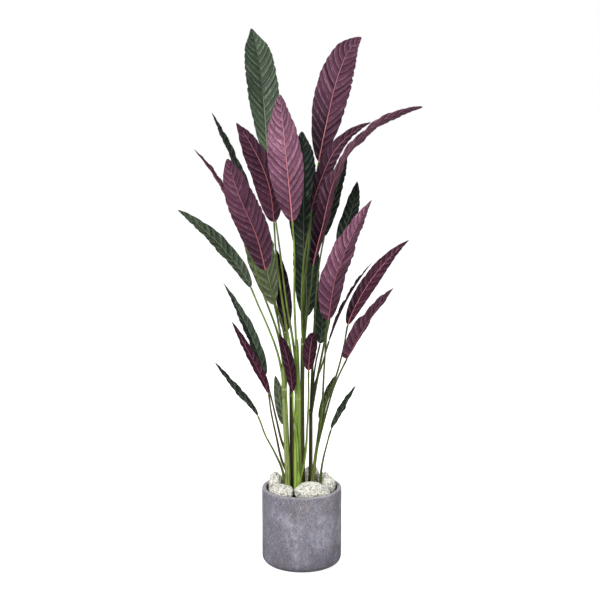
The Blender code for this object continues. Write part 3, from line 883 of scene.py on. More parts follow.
# %% [markdown]
# Between the stones the soil shows as dark crumbs. The starting mesh is the plain block of soil.
# The tree scatters points on its faces, puts a small ball of a random size and turn on each, and
# makes them all real, because an exporter drops what is only an instance. Where the points fall
# depends on the order of the faces, so the block is listed corner by corner and face by face. An
# extruded disc would look the same, but its order, and so the crumbs, can differ between two runs.

# %% Fill the pot with soil
CRUMB_SEED = 7
CRUMBS_PER_AREA = 15000.0
LEAST_CRUMB = 0.0012
LARGEST_CRUMB = 0.0032
CRUMB_ROOM = 0.002
SOIL_TURNS = 72


def soil_tree():
    tree, given, end = geometry_tree("Soil crumbs", {
        "Density": "Float", "Seed": "Int", "Smallest": "Float", "Largest": "Float", "Material": "Material"})
    spots = add_node(tree, "GeometryNodeDistributePointsOnFaces", {
        "Mesh": given["Geometry"], "Density": given["Density"], "Seed": given["Seed"]})
    ball = add_node(tree, "GeometryNodeMeshIcoSphere", {"Radius": 1.0, "Subdivisions": 1}).outputs[0]
    size = add_node(tree, "FunctionNodeRandomValue", {
        2: given["Smallest"], 3: given["Largest"], "Seed": given["Seed"]}, data_type="FLOAT").outputs[1]
    spin = add_node(tree, "FunctionNodeRandomValue", {
        1: (TURN, TURN, TURN)}, data_type="FLOAT_VECTOR").outputs[0]
    crumbs = add_node(tree, "GeometryNodeInstanceOnPoints", {
        "Points": spots.outputs["Points"], "Instance": ball, "Rotation": spin, "Scale": size}).outputs[0]
    real = add_node(tree, "GeometryNodeRealizeInstances", {0: crumbs}).outputs[0]
    both = add_node(tree, "GeometryNodeJoinGeometry")
    plug(tree, given["Geometry"], both.inputs[0])
    plug(tree, real, both.inputs[0])
    plug(tree, dress(tree, both.outputs[0], given["Material"]), end)
    return tree


def soil_disc():
    """A closed round block of soil that fills the pot, with room on top for the crumbs."""
    radius = POT_RADIUS - POT_WALL - SEAT
    low = POT_FLOOR + SEAT
    high = SOIL_TOP + SEAT - CRUMB_ROOM
    angles = [TURN * i / SOIL_TURNS for i in range(SOIL_TURNS)]
    points = [(radius * math.cos(a), radius * math.sin(a), height) for height in (low, high) for a in angles]
    points += [(0, 0, low), (0, 0, high)]
    pairs = [(i, (i + 1) % SOIL_TURNS) for i in range(SOIL_TURNS)]
    under = [(j, i, 2 * SOIL_TURNS) for i, j in pairs]
    upper = [(i + SOIL_TURNS, j + SOIL_TURNS, 2 * SOIL_TURNS + 1) for i, j in pairs]
    sides = [(i, j, j + SOIL_TURNS, i + SOIL_TURNS) for i, j in pairs]
    mesh = bpy.data.meshes.new("soil_disc")
    mesh.from_pydata(points, [], under + upper + sides)
    return mesh


soil = grow("potting_soil", soil_disc(), soil_tree(), {
    "Density": CRUMBS_PER_AREA, "Seed": CRUMB_SEED, "Smallest": LEAST_CRUMB, "Largest": LARGEST_CRUMB,
    "Material": SOIL})
finish_piece(soil, "soil", "soil")
print("soil of", len(soil.data.polygons), "faces")

# %% [markdown]
# Now the plant. A list gives each shoot its trunk and its leaves, in centimetres, and is the same
# list that the solids were made from. A leaf's stalk runs up through its points to the first point
# of its midrib. Its roll, in degrees, turns the green face: 0 faces the front, 90 the right and
# 180 the back. Its ends say how blunt the blade is at its foot and at its tip, and its keel, in
# degrees, how far its halves are folded up from flat. A list of angles runs from foot to tip.

# %% List the shoots and the leaves
SLENDER = (0.52, 0.78)
KEEL = 16
Leaf = namedtuple("Leaf", "name stalk midrib width roll ends keel", defaults=(SLENDER, KEEL))
Shoot = namedtuple("Shoot", "name colour radii trunk leaves")

SHOOTS = (
    Shoot("left", "stem_green", (0.85, 0.74), ((-3.7, -1, 19.5), (-4.2, -2, 35), (-4.8, -3, 51)), (
        Leaf("leaf_left_1", ((-4.8, -3, 47.5), (-5, -5.5, 66.5), (-8, -8.5, 77)),
             ((-9.5, -10, 83), (-11.35, -12.2, 91), (-15.95, -17.7, 103.2), (-18.5, -21, 112.3)), 8.1, 184,
             (0.50, 0.60)),
        Leaf("leaf_left_2", ((-4.9, -3, 47), (-6.5, -3.5, 65), (-10, -3.5, 75), (-13.5, -3, 85.5)),
             ((-15.5, -3, 92), (-21.2, -2, 104), (-28.5, -1, 114)), 3.6, 114),
        Leaf("leaf_left_3", ((-4.8, -3.1, 46), (-6.4, -3, 59), (-9.4, -3.5, 67.5), (-11.8, -3.5, 73)),
             ((-13.6, -4, 77.5), (-22.5, -6, 90), (-32.5, -7, 98.5)), 4.8, 45),
        Leaf("leaf_left_4", ((-4.8, -2.8, 46.5), (-5.5, 0, 62.5)),
             ((-7.5, 4, 71.5), (-11.5, 10, 88), (-18.5, 19, 103.5)), 9.8, -30, (0.60, 0.64)),
        Leaf("leaf_left_5",
             ((-4.7, -2.8, 46), (-5.2, 1.5, 58), (-7, 8, 69), (-9, 14, 80), (-11.5, 18, 91)),
             ((-14.5, 20, 100), (-19.9, 22, 111.5), (-25.5, 24, 123.5)), 3.6, 62),
    )),
    Shoot("front", "stem_green", (1.18, 0.84),
          ((-1.1, -1.7, 19.5), (-1.2, -3, 35.5), (-1.1, -3.5, 48.4)), (
        Leaf("leaf_front_1", ((-1, -3.6, 44.5), (-1.5, -5, 62), (-2, -6.5, 74.5), (-2, -8, 88)),
             ((-2.5, -9, 95.5), (-4, -14, 112), (-5.5, -20, 128)), 9.25, (186, 192, 225),
             (0.58, 0.66)),
        Leaf("leaf_front_2", ((-1.1, -3.5, 44), (-3, -4, 60), (-5.3, -4.5, 74.5), (-6.9, -5, 87.5)),
             ((-7.35, -5, 95), (-8.65, -7, 105), (-12.3, -9, 114), (-16.8, -10, 121)), 7.3,
             (190, 205, 215), (0.50, 0.66)),
        Leaf("leaf_front_3",
             ((-1, -3.3, 44.5), (-2, -1.5, 59.5), (-4, 0.5, 72), (-6, 3, 87), (-7.5, 5.5, 97.5)),
             ((-9, 7, 109.5), (-10.6, 12, 128), (-12, 15.5, 138), (-14, 19, 146.5)), 8.8, 12,
             (0.78, 0.58)),
        Leaf("leaf_front_4", ((-1, -2.4, 23), (-1.1, -3.9, 30), (-1.6, -4.6, 38), (-2.3, -5.5, 44)),
             ((-2.5, -6, 49.5), (-3.6, -9, 58.5), (-6, -14, 67)), 3.1, 175),
        Leaf("leaf_front_5", ((-0.5, -2.5, 24.5), (1, -5, 32.5), (1.5, -6, 40.5), (1.8, -6.5, 49)),
             ((1.8, -7, 55.5), (2.1, -9.5, 61), (2.9, -13, 67)), 3.8, 186, (0.50, 0.50)),
    )),
    Shoot("middle", "stem_dark", (0.58, 0.60), ((0.5, 1.6, 19.5), (0.15, 1, 43), (0.3, 0, 63.5)), (
        Leaf("leaf_middle_1", ((0.5, 0, 61), (0, -0.5, 72.5), (0.5, -1, 84), (2, -1, 93.5)),
             ((2.5, -1, 97.5), (5.1, -1, 106), (9, 0, 114), (18.5, 3, 121)), 4.3, (138, 182, 225)),
        Leaf("leaf_middle_2", ((0.5, 0, 60.5), (0.7, 1, 76), (2, 1, 89.5), (2.7, 1.5, 99)),
             ((4.5, 2, 110.5), (6.5, 3.5, 120.5), (10.5, 6.5, 135.5), (12.3, 7.5, 139.6), (16, 9, 143.5)),
             9.6, 192, (0.70, 0.60)),
        Leaf("leaf_middle_3", ((0.5, 0.1, 60), (0.5, 2, 74.5)),
             ((0.5, 4, 85), (0.5, 5, 102), (0, 7, 118.5)), 8.4, -12, (0.44, 0.50)),
        Leaf("leaf_middle_4", ((0.5, 0.1, 60), (0.6, 3, 65)),
             ((1, 5, 68), (1.2, 11, 85), (0.5, 19, 102)), 7.4, 0),
        Leaf("leaf_middle_5", ((0.5, 0, 60), (1.5, -1.5, 71), (2.5, -3, 78)),
             ((3, -4, 83.5), (5.2, -6, 93.5), (9.15, -9, 108.5), (13.2, -10, 115.4), (18.7, -11.5, 120.4),
              (30.5, -13, 125)),
             6.6, (222, 222, 222, 230, 250, 253, 248, 246, 242), (0.48, 0.45),
             (16, 16, 16, 14, 5, 0, 0, 0, 0)),
    )),
    Shoot("brown", "stem_dark", (0.68, 0.62), ((-2.4, 0.6, 19.5), (-2.75, 0, 34.5), (-2.85, 0, 48.5)), (
        Leaf("leaf_brown_1", ((-3, 0, 46.5), (-3.5, 1, 56.5)),
             ((-4.4, 3, 64), (-5.4, 7, 75), (-7.2, 12, 86)), 4.6, 160),
        Leaf("leaf_brown_2", ((-2.7, 0.1, 28), (-4.4, 1.2, 34)),
             ((-5, 2, 38.2), (-6.1, 6, 44.5), (-7.5, 10, 50.5)), 3.2, 0),
        Leaf("leaf_brown_3", ((-2.4, 0.5, 22.5), (-5, 1, 27), (-7, 0, 35.5), (-8.5, -2.5, 44)),
             ((-9, -4, 48.5), (-13.5, -6, 59), (-18.5, -8, 69)), 2.7, 165),
        Leaf("leaf_brown_4", ((-2.7, 0.1, 28), (-5, 0.5, 32.5), (-7, -0.2, 40.5), (-8.5, 0, 47)),
             ((-10, 1, 52.5), (-15, 3, 65.5), (-21.5, 5, 77.5)), 3.9, 44, (0.50, 1.00)),
    )),
    Shoot("back", "stem_dark", (0.60, 0.54), ((2.4, 4, 19.5), (2.5, 4, 33.5), (2.5, 4, 42.5)), (
        Leaf("leaf_back_1", ((2.5, 4, 40.5), (3, 4, 48.5), (4, 4.5, 56)),
             ((5, 5, 60.5), (6, 10, 70.5), (7.5, 16, 82)), 5.0, -8),
        Leaf("leaf_back_2", ((2.5, 4, 40), (3.5, 4, 49), (5.5, 4, 54.5)),
             ((7.5, 4, 61.5), (13, 7, 73.5), (19.5, 10, 82.5)), 3.6, 258),
        Leaf("leaf_back_3", ((2.5, 4, 40), (3, 3.5, 56.5), (3.5, 3, 67.5), (4.5, 4, 81)),
             ((6.1, 5, 90.2), (7.9, 7, 97.3), (9.3, 9, 102.1), (12.5, 13, 112)), 5.0, -35),
        Leaf("leaf_back_4",
             ((2.5, 4, 40.5), (4.3, 2.6, 51.5), (6, 2.4, 60.5), (7.4, 3, 68.5), (9.2, 4.2, 77)),
             ((10.3, 6, 87.5), (13.6, 11, 96), (15.5, 17, 104.5)), 4.6, -25),
    )),
    Shoot("right", "stem_olive", (0.52, 0.48), ((2.8, -0.4, 19.5), (3.5, -1, 28), (4.5, -1, 35)), (
        Leaf("leaf_right_1", ((4.3, -1, 33.5), (5.5, -3, 45), (6, -5, 56), (6.5, -7, 64.5)),
             ((7, -8, 69.5), (8.8, -11, 81.5), (11.4, -13.5, 89), (17.5, -19, 102)), 7.8,
             (205, 212, 220), (0.47, 0.88)),
        Leaf("leaf_right_2", ((4.2, -1, 33), (6.5, -0.5, 44.5), (9.5, 0, 53), (11.5, 0.5, 61)),
             ((12.5, 1, 66.5), (17, 2, 76), (20.5, 2.5, 81), (29, 3, 89.5)), 4.4, (190, 165, 215)),
        Leaf("leaf_right_3", ((4.2, -1, 33), (6.5, -2.5, 42.5), (9, -4.5, 51.5)),
             ((12, -6, 58.5), (17, -10, 69), (23.5, -15, 79)), 8.0, 238, (0.42, 0.80)),
        Leaf("leaf_right_4", ((4, -1, 31.5), (4.5, 1.5, 36)),
             ((5, 5, 39), (7.1, 8, 45.3), (9.5, 12, 50)), 2.2, -35),
    )),
    Shoot("low_left", "stem_olive", (0.36, 0.32), ((-4.8, 1.4, 19.5), (-4.8, 1.4, 22.5)), (
        Leaf("leaf_low_left", ((-4.8, 1.4, 21), (-5.4, 1.3, 25.5), (-7.6, 0.6, 31), (-10, -0.5, 36)),
             ((-12, -1, 41.5), (-18.2, -2, 49.6), (-23.5, -3, 57)), 3.0, 66),
    )),
    Shoot("low_right", "stem_olive", (0.36, 0.32), ((5, -0.9, 19.5), (5.1, -0.9, 22.5)), (
        Leaf("leaf_low_right", ((5, -0.9, 21), (5.7, -1, 28.5), (6.8, -1.5, 33.5)),
             ((8, -2, 38), (11, -3, 44), (14.5, -5, 51)), 2.9, -66),
    )),
)
print("shoots:", len(SHOOTS), "leaves:", sum(len(shoot.leaves) for shoot in SHOOTS))

# %% [markdown]
# A stalk and its midrib are one smooth line through a few chosen points. Between two points the
# line is a cubic whose slope at each end is the average of the straight runs that meet there,
# weighted so that a short run counts for more. The same rule shaped the solids, so both agree.

# %% Draw smooth lines through points
def centimetres(points):
    return [Vector(point) * CM for point in points]


def smooth_path(points):
    """Knots by chord length, and a function giving the point on a smooth curve through them."""
    knots = [0.0]
    pace = []
    for start, end in zip(points, points[1:]):
        span = (end - start).length
        knots.append(knots[-1] + span)
        pace.append((end - start) / span)
    slopes = []
    for i in range(1, len(points) - 1):
        before = knots[i] - knots[i - 1]
        after = knots[i + 1] - knots[i]
        slopes.append((pace[i - 1] * after + pace[i] * before) / (before + after))
    if slopes:
        slopes.insert(0, 2 * pace[0] - slopes[0])
        slopes.append(2 * pace[-1] - slopes[-1])
    else:
        slopes = [pace[0], pace[0]]

    def point_at(distance):
        i = 0
        while i < len(pace) - 1 and distance > knots[i + 1]:
            i += 1
        span = knots[i + 1] - knots[i]
        t = (distance - knots[i]) / span
        return ((2 * t**3 - 3 * t**2 + 1) * points[i] + (t**3 - 2 * t**2 + t) * span * slopes[i]
                + (3 * t**2 - 2 * t**3) * points[i + 1] + (t**3 - t**2) * span * slopes[i + 1])

    return knots, point_at


def leaf_path(leaf):
    """Where the blade starts along a leaf's line, its length in all, and the line itself."""
    knots, point_at = smooth_path(centimetres(leaf.stalk + leaf.midrib))
    return knots[len(leaf.stalk)], knots[-1], point_at


def polyline(name, lines):
    """A mesh of loose lines, each a list of points, with the numbers or arrows that they carry."""
    mesh = bpy.data.meshes.new(name)
    places = []
    edges = []
    for points, _ in lines:
        edges += [(len(places) + i, len(places) + i + 1) for i in range(len(points) - 1)]
        places += points
    mesh.from_pydata(places, edges, [])
    for label in lines[0][1]:
        values = [value for _, carried in lines for value in carried[label]]
        vector = isinstance(values[0], Vector)
        attribute = mesh.attributes.new(label, "FLOAT_VECTOR" if vector else "FLOAT", "POINT")
        for i, value in enumerate(values):
            if vector:
                attribute.data[i].vector = value
            else:
                attribute.data[i].value = value
    return mesh


print("longest leaf line:", round(max(leaf_path(leaf)[1] for s in SHOOTS for leaf in s.leaves), 3), "m")

# %% [markdown]
# A trunk is not wood: it is the bases of several stalks wrapped round each other, which shows as
# long creases. So its cross-section has a lobe for each wrapped stalk, and it turns slowly on its
# way up. The tree bends a circle into that lobed ring, stores where its creases are, and sweeps it
# along a line, which carries how thick the trunk is at each height.

# %% Design the wrapped trunk
CREASE_WIDTH = 0.45
LOBE_ROUND = 0.6


def trunk_tree():
    tree, given, end = geometry_tree("Wrapped trunk", {
        "Sides": "Int", "Lobes": "Float", "Lobe depth": "Float", "Twist": "Float", "Material": "Material"})
    line = add_node(tree, "GeometryNodeMeshToCurve", {0: given["Geometry"]}).outputs[0]
    up = Field(tree, add_node(tree, "GeometryNodeSplineParameter").outputs["Factor"])
    line = add_node(tree, "GeometryNodeSetCurveTilt", {0: line, "Tilt": up * given["Twist"]}).outputs[0]
    ring = round_ring(tree, given["Sides"])
    where = add_node(tree, "GeometryNodeInputPosition").outputs[0]
    across, along, _ = split(tree, where)
    angle = along.calc("ARCTAN2", across)
    lobe = abs((angle * given["Lobes"] * 0.5).calc("COSINE"))
    # The creases get painted shade in the stem material.
    crease = 1 - lobe.step(0.0, CREASE_WIDTH)
    ring = remember(tree, ring, "crease", crease)
    dent = given["Lobe depth"] * (1 - lobe ** LOBE_ROUND)
    ring = add_node(tree, "GeometryNodeSetPosition", {
        "Geometry": ring, "Position": arrows(tree, "SCALE", where, 1 - dent)}).outputs[0]
    skin = sweep(tree, line, ring, recall(tree, "thick"))
    plug(tree, dress(tree, smooth_and_real(tree, skin), given["Material"]), end)
    return tree


TRUNK_TREE = trunk_tree()
print("trunk tree of", len(TRUNK_TREE.nodes), "nodes")

# %% [markdown]
# The outermost wrapping of a trunk ends in a pale, slightly swollen ring, and just above it the
# trunk closes, because there the stalks part. On the two stout shoots an inner wrapping goes on
# above the ring and narrows: that is the sheath. The foot stands a little way down in the soil.

# %% Grow the trunks
TRUNK_STEPS = 90
SHEATH_STEPS = 24
TRUNK_SIDES = 60
LOBE_DEPTH = 0.10
FEWEST_LOBES = 3
TRUNK_TWIST = 0.9
STEM_DEPTH = 0.03
RING_AT = 0.955
RING_WIDTH = 0.006
RING_SWELL = 0.10
TRUNK_CLOSE = 0.985
CLOSED = 0.02

# Above the ring: the points of the sheath and its radius at the top, in centimetres. Age is how far
# a shoot's colour leans from the low one of its material to the old one.
SHEATHS = {
    "left": (((-4.9, -3.5, 55), (-5.1, -4.2, 63)), 0.36),
    "front": (((-1.1, -3.8, 53), (-1.3, -4.8, 64)), 0.36),
}
AGE = {"left": 1.0, "front": 0.4, "right": 0.5, "back": 1.0}


def trunk_thickness(shoot, share):
    """The trunk's radius at a share of its height, with the ring and the closing top."""
    foot, top = (radius * CM for radius in shoot.radii)
    ring = RING_SWELL * math.exp(-((share - RING_AT) / RING_WIDTH) ** 2)
    radius = (foot + (top - foot) * share) * (1 + ring)
    if share > TRUNK_CLOSE and shoot.name not in SHEATHS:
        radius *= math.sqrt(max(CLOSED, 1 - ((share - TRUNK_CLOSE) / (1 - TRUNK_CLOSE)) ** 2))
    return radius


def sheath(shoot):
    """Points and radii of the sheath, which narrows and closes over its last sixth."""
    points, end = SHEATHS[shoot.name]
    knots, point_at = smooth_path(centimetres(shoot.trunk[-2:] + points))
    start = knots[1]
    places = []
    radii = []
    for i in range(1, SHEATH_STEPS + 1):
        share = i / SHEATH_STEPS
        places.append(point_at(start + (knots[-1] - start) * share))
        close = math.sqrt(max(CLOSED, 1 - max(0, share * 6 - 5) ** 2))
        radii.append((shoot.radii[1] + (end - shoot.radii[1]) * share ** 0.7) * CM * close)
    return places, radii


def trunk_line(shoot):
    knots, point_at = smooth_path(centimetres(shoot.trunk))
    shares = [i / TRUNK_STEPS for i in range(TRUNK_STEPS + 1)]
    points = [point_at(share * knots[-1]) for share in shares]
    thick = [trunk_thickness(shoot, share) for share in shares]
    rings = [math.exp(-((share - RING_AT) / RING_WIDTH) ** 2) for share in shares]
    points.insert(0, points[0] - Vector((0, 0, STEM_DEPTH)))
    thick.insert(0, thick[0])
    rings.insert(0, 0.0)
    if shoot.name in SHEATHS:
        places, radii = sheath(shoot)
        points += places
        thick += radii
        rings += [0.0] * len(radii)
    age = [AGE.get(shoot.name, 0.0)] * len(points)
    return polyline(f"trunk_line_{shoot.name}", [(points, {"thick": thick, "ring": rings, "age": age})])


for shoot in SHOOTS:
    trunk = grow(f"trunk_{shoot.name}", trunk_line(shoot), TRUNK_TREE, {
        "Sides": TRUNK_SIDES, "Lobes": float(max(FEWEST_LOBES, len(shoot.leaves))), "Lobe depth": LOBE_DEPTH,
        "Twist": TRUNK_TWIST, "Material": STEM_MATERIALS[shoot.colour]})
    finish_piece(trunk, f"shoot_{shoot.name}", shoot.colour)
print("trunks:", len(SHOOTS))

# %% [markdown]
# Each stalk is a slim round tube that leaves its trunk, thins on its way up, and swells again just
# below the blade, at the knee with which such plants turn their leaves. Near its foot it is a
# little thicker, where its own sleeve wraps it. One side of the ring is stored as crease, so a
# stripe of painted shade runs up the stalk, as if it were lit from one side. All stalks of a shoot
# are grown at once, as one piece, because the tree follows every line of its starting mesh.

# %% Grow the stalks
STALK_FOOT_RADIUS = 0.0031
STALK_TOP_RADIUS = 0.0022
STALK_PACE = 0.008
STALK_SIDES = 14
KNEE_SWELL = 0.20
KNEE_LENGTH = 0.011
STALK_SLEEVE = 0.0013
SLEEVE_END = 0.7
STALK_AGE = 0.5


def stalk_tree():
    tree, given, end = geometry_tree("Stalks", {"Sides": "Int", "Material": "Material"})
    line = add_node(tree, "GeometryNodeMeshToCurve", {0: given["Geometry"]}).outputs[0]
    ring = round_ring(tree, given["Sides"])
    where = add_node(tree, "GeometryNodeInputPosition").outputs[0]
    # One side of each stalk is marked for a stripe of painted shade.
    ring = remember(tree, ring, "crease", split(tree, where)[0].step(-0.1, 0.8))
    skin = sweep(tree, line, ring, recall(tree, "thick"))
    plug(tree, dress(tree, smooth_and_real(tree, skin), given["Material"]), end)
    return tree


def stalk_line(leaf, age):
    start, _, point_at = leaf_path(leaf)
    count = round(start / STALK_PACE)
    shares = [i / count for i in range(count + 1)]
    thick = []
    for share in shares:
        knee = KNEE_SWELL * math.exp(-(((1 - share) * start - KNEE_LENGTH) / KNEE_LENGTH) ** 2)
        sleeve = STALK_SLEEVE * max(0, 1 - share / SLEEVE_END) ** 1.5
        slim = STALK_FOOT_RADIUS + (STALK_TOP_RADIUS - STALK_FOOT_RADIUS) * share
        thick.append((slim + sleeve) * (1 + knee))
    return [point_at(share * start) for share in shares], {"thick": thick, "age": [age] * len(shares)}


STALK_TREE = stalk_tree()
for shoot in SHOOTS:
    lines = polyline(f"stalk_lines_{shoot.name}", [
        stalk_line(leaf, AGE.get(shoot.name, 0.0) * STALK_AGE) for leaf in shoot.leaves])
    stalks = grow(f"stalks_{shoot.name}", lines, STALK_TREE, {
        "Sides": STALK_SIDES, "Material": STEM_MATERIALS[shoot.colour]})
    finish_piece(stalks, f"shoot_{shoot.name}", shoot.colour)
print("stalks:", sum(len(shoot.leaves) for shoot in SHOOTS))

# %% [markdown]
# The blade is the heart of the plant, and its shape follows a rule, so one geometry tree makes all
# of them and only its inputs differ. The sizes could be fixed numbers inside the tree, but inputs
# with names can be tried out in the modifier panel, which soon shows what each of them does.

# %% Name the sizes of a blade
BLADE_SIZES = (
    "Length", "Half width", "Foot", "Tip", "Veins", "Vein sweep", "Vein drift", "Row crowding",
    "Pleat", "Ruffle", "Puff", "Scallop", "Point", "Edge wave", "Wave length", "Left phase",
    "Right phase", "Unevenness", "Thickness", "Rib radius", "Left foot tone", "Left tip tone",
    "Right foot tone", "Right tip tone", "Warmth", "Green rib", "Rib tone", "Line end",
)
BLADE_INPUTS = {"Columns": "Int", "Rows": "Int"}
BLADE_INPUTS.update(dict.fromkeys(BLADE_SIZES, "Float"))
BLADE_INPUTS.update(dict.fromkeys(("Green face", "Purple face", "Rib"), "Material"))
print("a blade has", len(BLADE_INPUTS), "inputs")

# %% [markdown]
# A blade starts as a flat grid that is rolled up into a thin sleeve. One direction of the grid runs
# from the foot to the tip, and the other runs round the section, over the green face and back under
# the purple one. From these two, each point knows how far from the midrib it lies, which half and
# which face it is on, and how far the waves have to ease off because the foot or the tip is near.

# %% Roll up the sheet
SECTION_POWER = 1.3
Sheet = namedtuple("Sheet", "share turn across spread right_half face purple ease")


def rolled_sheet(tree):
    """The share of the length and the place on the section of each point of the grid."""
    where = add_node(tree, "GeometryNodeInputPosition").outputs[0]
    sideways, lengthways, _ = split(tree, where)
    turn = (sideways + 0.5) * TURN
    share = lengthways + 0.5
    section = turn.calc("COSINE")
    across = section.calc("SIGN") * abs(section) ** SECTION_POWER
    return Sheet(
        share=share, turn=turn, across=across, spread=abs(across),
        right_half=across.calc("GREATER_THAN", 0.0), face=turn.calc("SINE").calc("SIGN"),
        purple=sideways.calc("GREATER_THAN", 0.0),
        ease=(share * math.pi).calc("SINE").calc("MAXIMUM", 0.0))


print("each point of a sheet knows its", ", ".join(Sheet._fields))

# %% [markdown]
# Side veins leave the midrib at an angle and bend towards the tip. Sliding each point along the
# midrib, by an amount that grows with its distance from it, sweeps the whole pattern forward like
# that. Evenly spaced veins would look printed, so they crowd at both ends, drift a little, and
# leave the midrib by turns on its two sides.

# %% Place the side veins
DRIFT_PACE = 0.55
HALVES_APART = 37.0
LEAVES_APART = 9.0


def reach_along(sheet, given):
    """How far along the midrib a point lies, from 0 to 1, with the forward sweep."""
    crowded = (1 - (sheet.share * math.pi).calc("COSINE")) * 0.5
    along = sheet.share + (crowded - sheet.share) * given["Row crowding"]
    slant = given["Vein sweep"] * given["Half width"] / given["Length"]
    sweep = sheet.spread * 0.6 + sheet.spread * sheet.spread * 0.4
    eased = (1 - (1 - sheet.share) ** 6) * (1 - sheet.share ** 4)
    return (along + slant * sweep * eased).calc("MINIMUM", 1.0)


def vein_number(tree, sheet, given):
    """The number of the band that a point is on, and as its fraction the place in that band."""
    count = sheet.share * given["Veins"]
    spot = count * DRIFT_PACE + sheet.right_half * HALVES_APART + given["Left phase"] * LEAVES_APART
    drift = add_node(tree, "ShaderNodeTexNoise", {"W": spot}, noise_dimensions="1D").outputs[0]
    return count + sheet.right_half * 0.5 + (Field(tree, drift) - 0.5) * given["Vein drift"] * sheet.ease


print("the halves of a blade have their veins by turns")

# %% [markdown]
# The outline rises from the foot to the widest place and falls to the tip. Each side of that hill
# is a power of the length: below 1 the end is blunt, and towards 1 it is slender. A drawn curve
# would do as well for one leaf, but two powers fit all of them. The edge is scalloped where the
# bands meet it, and "Point" narrows the last part of those blades that end in a sharper tip.

# %% Shape the outline
POINT_FROM = 0.84


def half_width(sheet, given, reach, vein):
    """Half the width of the blade beside a point."""
    widest = given["Foot"] / (given["Foot"] + given["Tip"])
    fall = ((1 - reach) / (1 - widest)).calc("MAXIMUM", 0.0)
    swell = (reach / widest) ** given["Foot"] * fall ** given["Tip"]
    band = abs((vein * math.pi).calc("SINE"))
    notch = given["Scallop"] * (band ** 0.5 - 0.5) * sheet.spread ** 4 * sheet.ease
    pointed = 1 - given["Point"] * reach.step(POINT_FROM, 1.0)
    return given["Half width"] * swell * (1 + notch) * pointed


print("blades narrow from", POINT_FROM, "of their length if they are pointed")

# %% [markdown]
# Seen from its edge a blade is never flat. Its halves are folded up along the midrib like the sides
# of a keel, long waves run along both edges out of step, each band pleats the surface and ruffles
# the edge, and the bands are puffed like the tiles of a roof. Each of these is a small height, and
# the surface is lifted by their sum.

# %% Lift the surface
ROOF_RISE = 6
ROOF_FALL = 0.6
FLAT_BESIDE_RIB = 0.18


def fold_and_waves(sheet, given, reach, vein, half, keel):
    """How far the keel, the pleats, the ruffle and the waves lift both faces together."""
    phase = given["Left phase"] + (given["Right phase"] - given["Left phase"]) * sheet.right_half
    waves = given["Length"] / given["Wave length"]
    wave = (reach * waves * TURN + phase).calc("SINE") * sheet.spread * sheet.spread * sheet.ease
    pleats = (sheet.share * given["Veins"] * math.pi).calc("COSINE")
    pleat = pleats * given["Pleat"] * sheet.spread * sheet.ease
    ruffle = (vein * TURN).calc("COSINE") * given["Ruffle"] * sheet.spread ** 3 * sheet.ease
    return half * sheet.spread * keel.calc("SINE") + pleat + ruffle + half * wave * given["Edge wave"]


def puff_and_thickness(sheet, given, vein):
    """How far each face stands off the middle of the blade."""
    past = vein.calc("FRACT")
    roof = (past * ROOF_RISE).calc("MINIMUM", 1.0) * (1 - past) ** ROOF_FALL
    off_rib = sheet.spread.step(0.0, FLAT_BESIDE_RIB)
    puff = roof * given["Puff"] * off_rib * (1 - sheet.spread ** 6) * sheet.ease ** 0.5
    thick = given["Thickness"] * 0.5 * abs(sheet.turn.calc("SINE")) ** 0.4 * sheet.ease ** 0.3
    return sheet.face * (thick + puff)


print("the bands lie flat up to", FLAT_BESIDE_RIB, "of the half width")

# %% [markdown]
# A blade arches, so "sideways" and "up" turn from its foot to its tip. The Sample Curve node gives
# the place and the direction of the midrib at any share of its length, and the arrow of the green
# face that the line carries. Two cross products make a square frame of them, and each point of the
# sheet goes out along its side and up along its upper direction.

# %% Follow the midrib
UNEVEN_SCALE = 22.0
RibFrame = namedtuple("RibFrame", "middle side upper keel")


def frame_beside(tree, midrib, reach):
    """The place and the directions of the midrib beside each point, and how far it is folded."""
    sampled = add_node(tree, "GeometryNodeSampleCurve", {
        "Curves": midrib, "Value": recall(tree, "upper", "FLOAT_VECTOR"), "Factor": reach},
        mode="FACTOR", data_type="FLOAT_VECTOR", use_all_curves=True)
    folded = add_node(tree, "GeometryNodeSampleCurve", {
        "Curves": midrib, "Value": recall(tree, "keel"), "Factor": reach},
        mode="FACTOR", data_type="FLOAT", use_all_curves=True)
    tangent = sampled.outputs["Tangent"]
    side = arrows(tree, "NORMALIZE", arrows(tree, "CROSS_PRODUCT", tangent, sampled.outputs["Value"]))
    upper = arrows(tree, "CROSS_PRODUCT", side, tangent)
    return RibFrame(sampled.outputs["Position"], side, upper, Field(tree, folded.outputs["Value"]))


def blade_place(tree, given, sheet, reach, vein, half, beside):
    """Where each point of the sheet ends up."""
    level = arrows(tree, "ADD", beside.middle, arrows(tree, "SCALE", beside.side, half * sheet.across))
    rough = add_node(tree, "ShaderNodeTexNoise", {
        "Vector": level, "Scale": UNEVEN_SCALE, "Detail": 2.0}).outputs[0]
    lift = fold_and_waves(sheet, given, reach, vein, half, beside.keel)
    lift = lift + (Field(tree, rough) - 0.5) * given["Unevenness"] * sheet.spread * sheet.ease
    lift = lift + puff_and_thickness(sheet, given, vein)
    out = arrows(tree, "SCALE", beside.side, half * sheet.across * beside.keel.calc("COSINE"))
    up = arrows(tree, "SCALE", beside.upper, lift)
    return arrows(tree, "ADD", arrows(tree, "ADD", beside.middle, out), up)


print("each point of the midrib has", ", ".join(RibFrame._fields))

# %% [markdown]
# The colours of a leaf follow its veins, so the mesh carries the numbers that the materials read.
# They are stored before the sheet is moved, while each point still knows its place on the grid.

# %% Mark the blade for its colours
TONES_MEET = 0.06
TIP_TONE_FROM = 0.05
TIP_TONE_AT = 0.6
LINE_FADE = 0.15


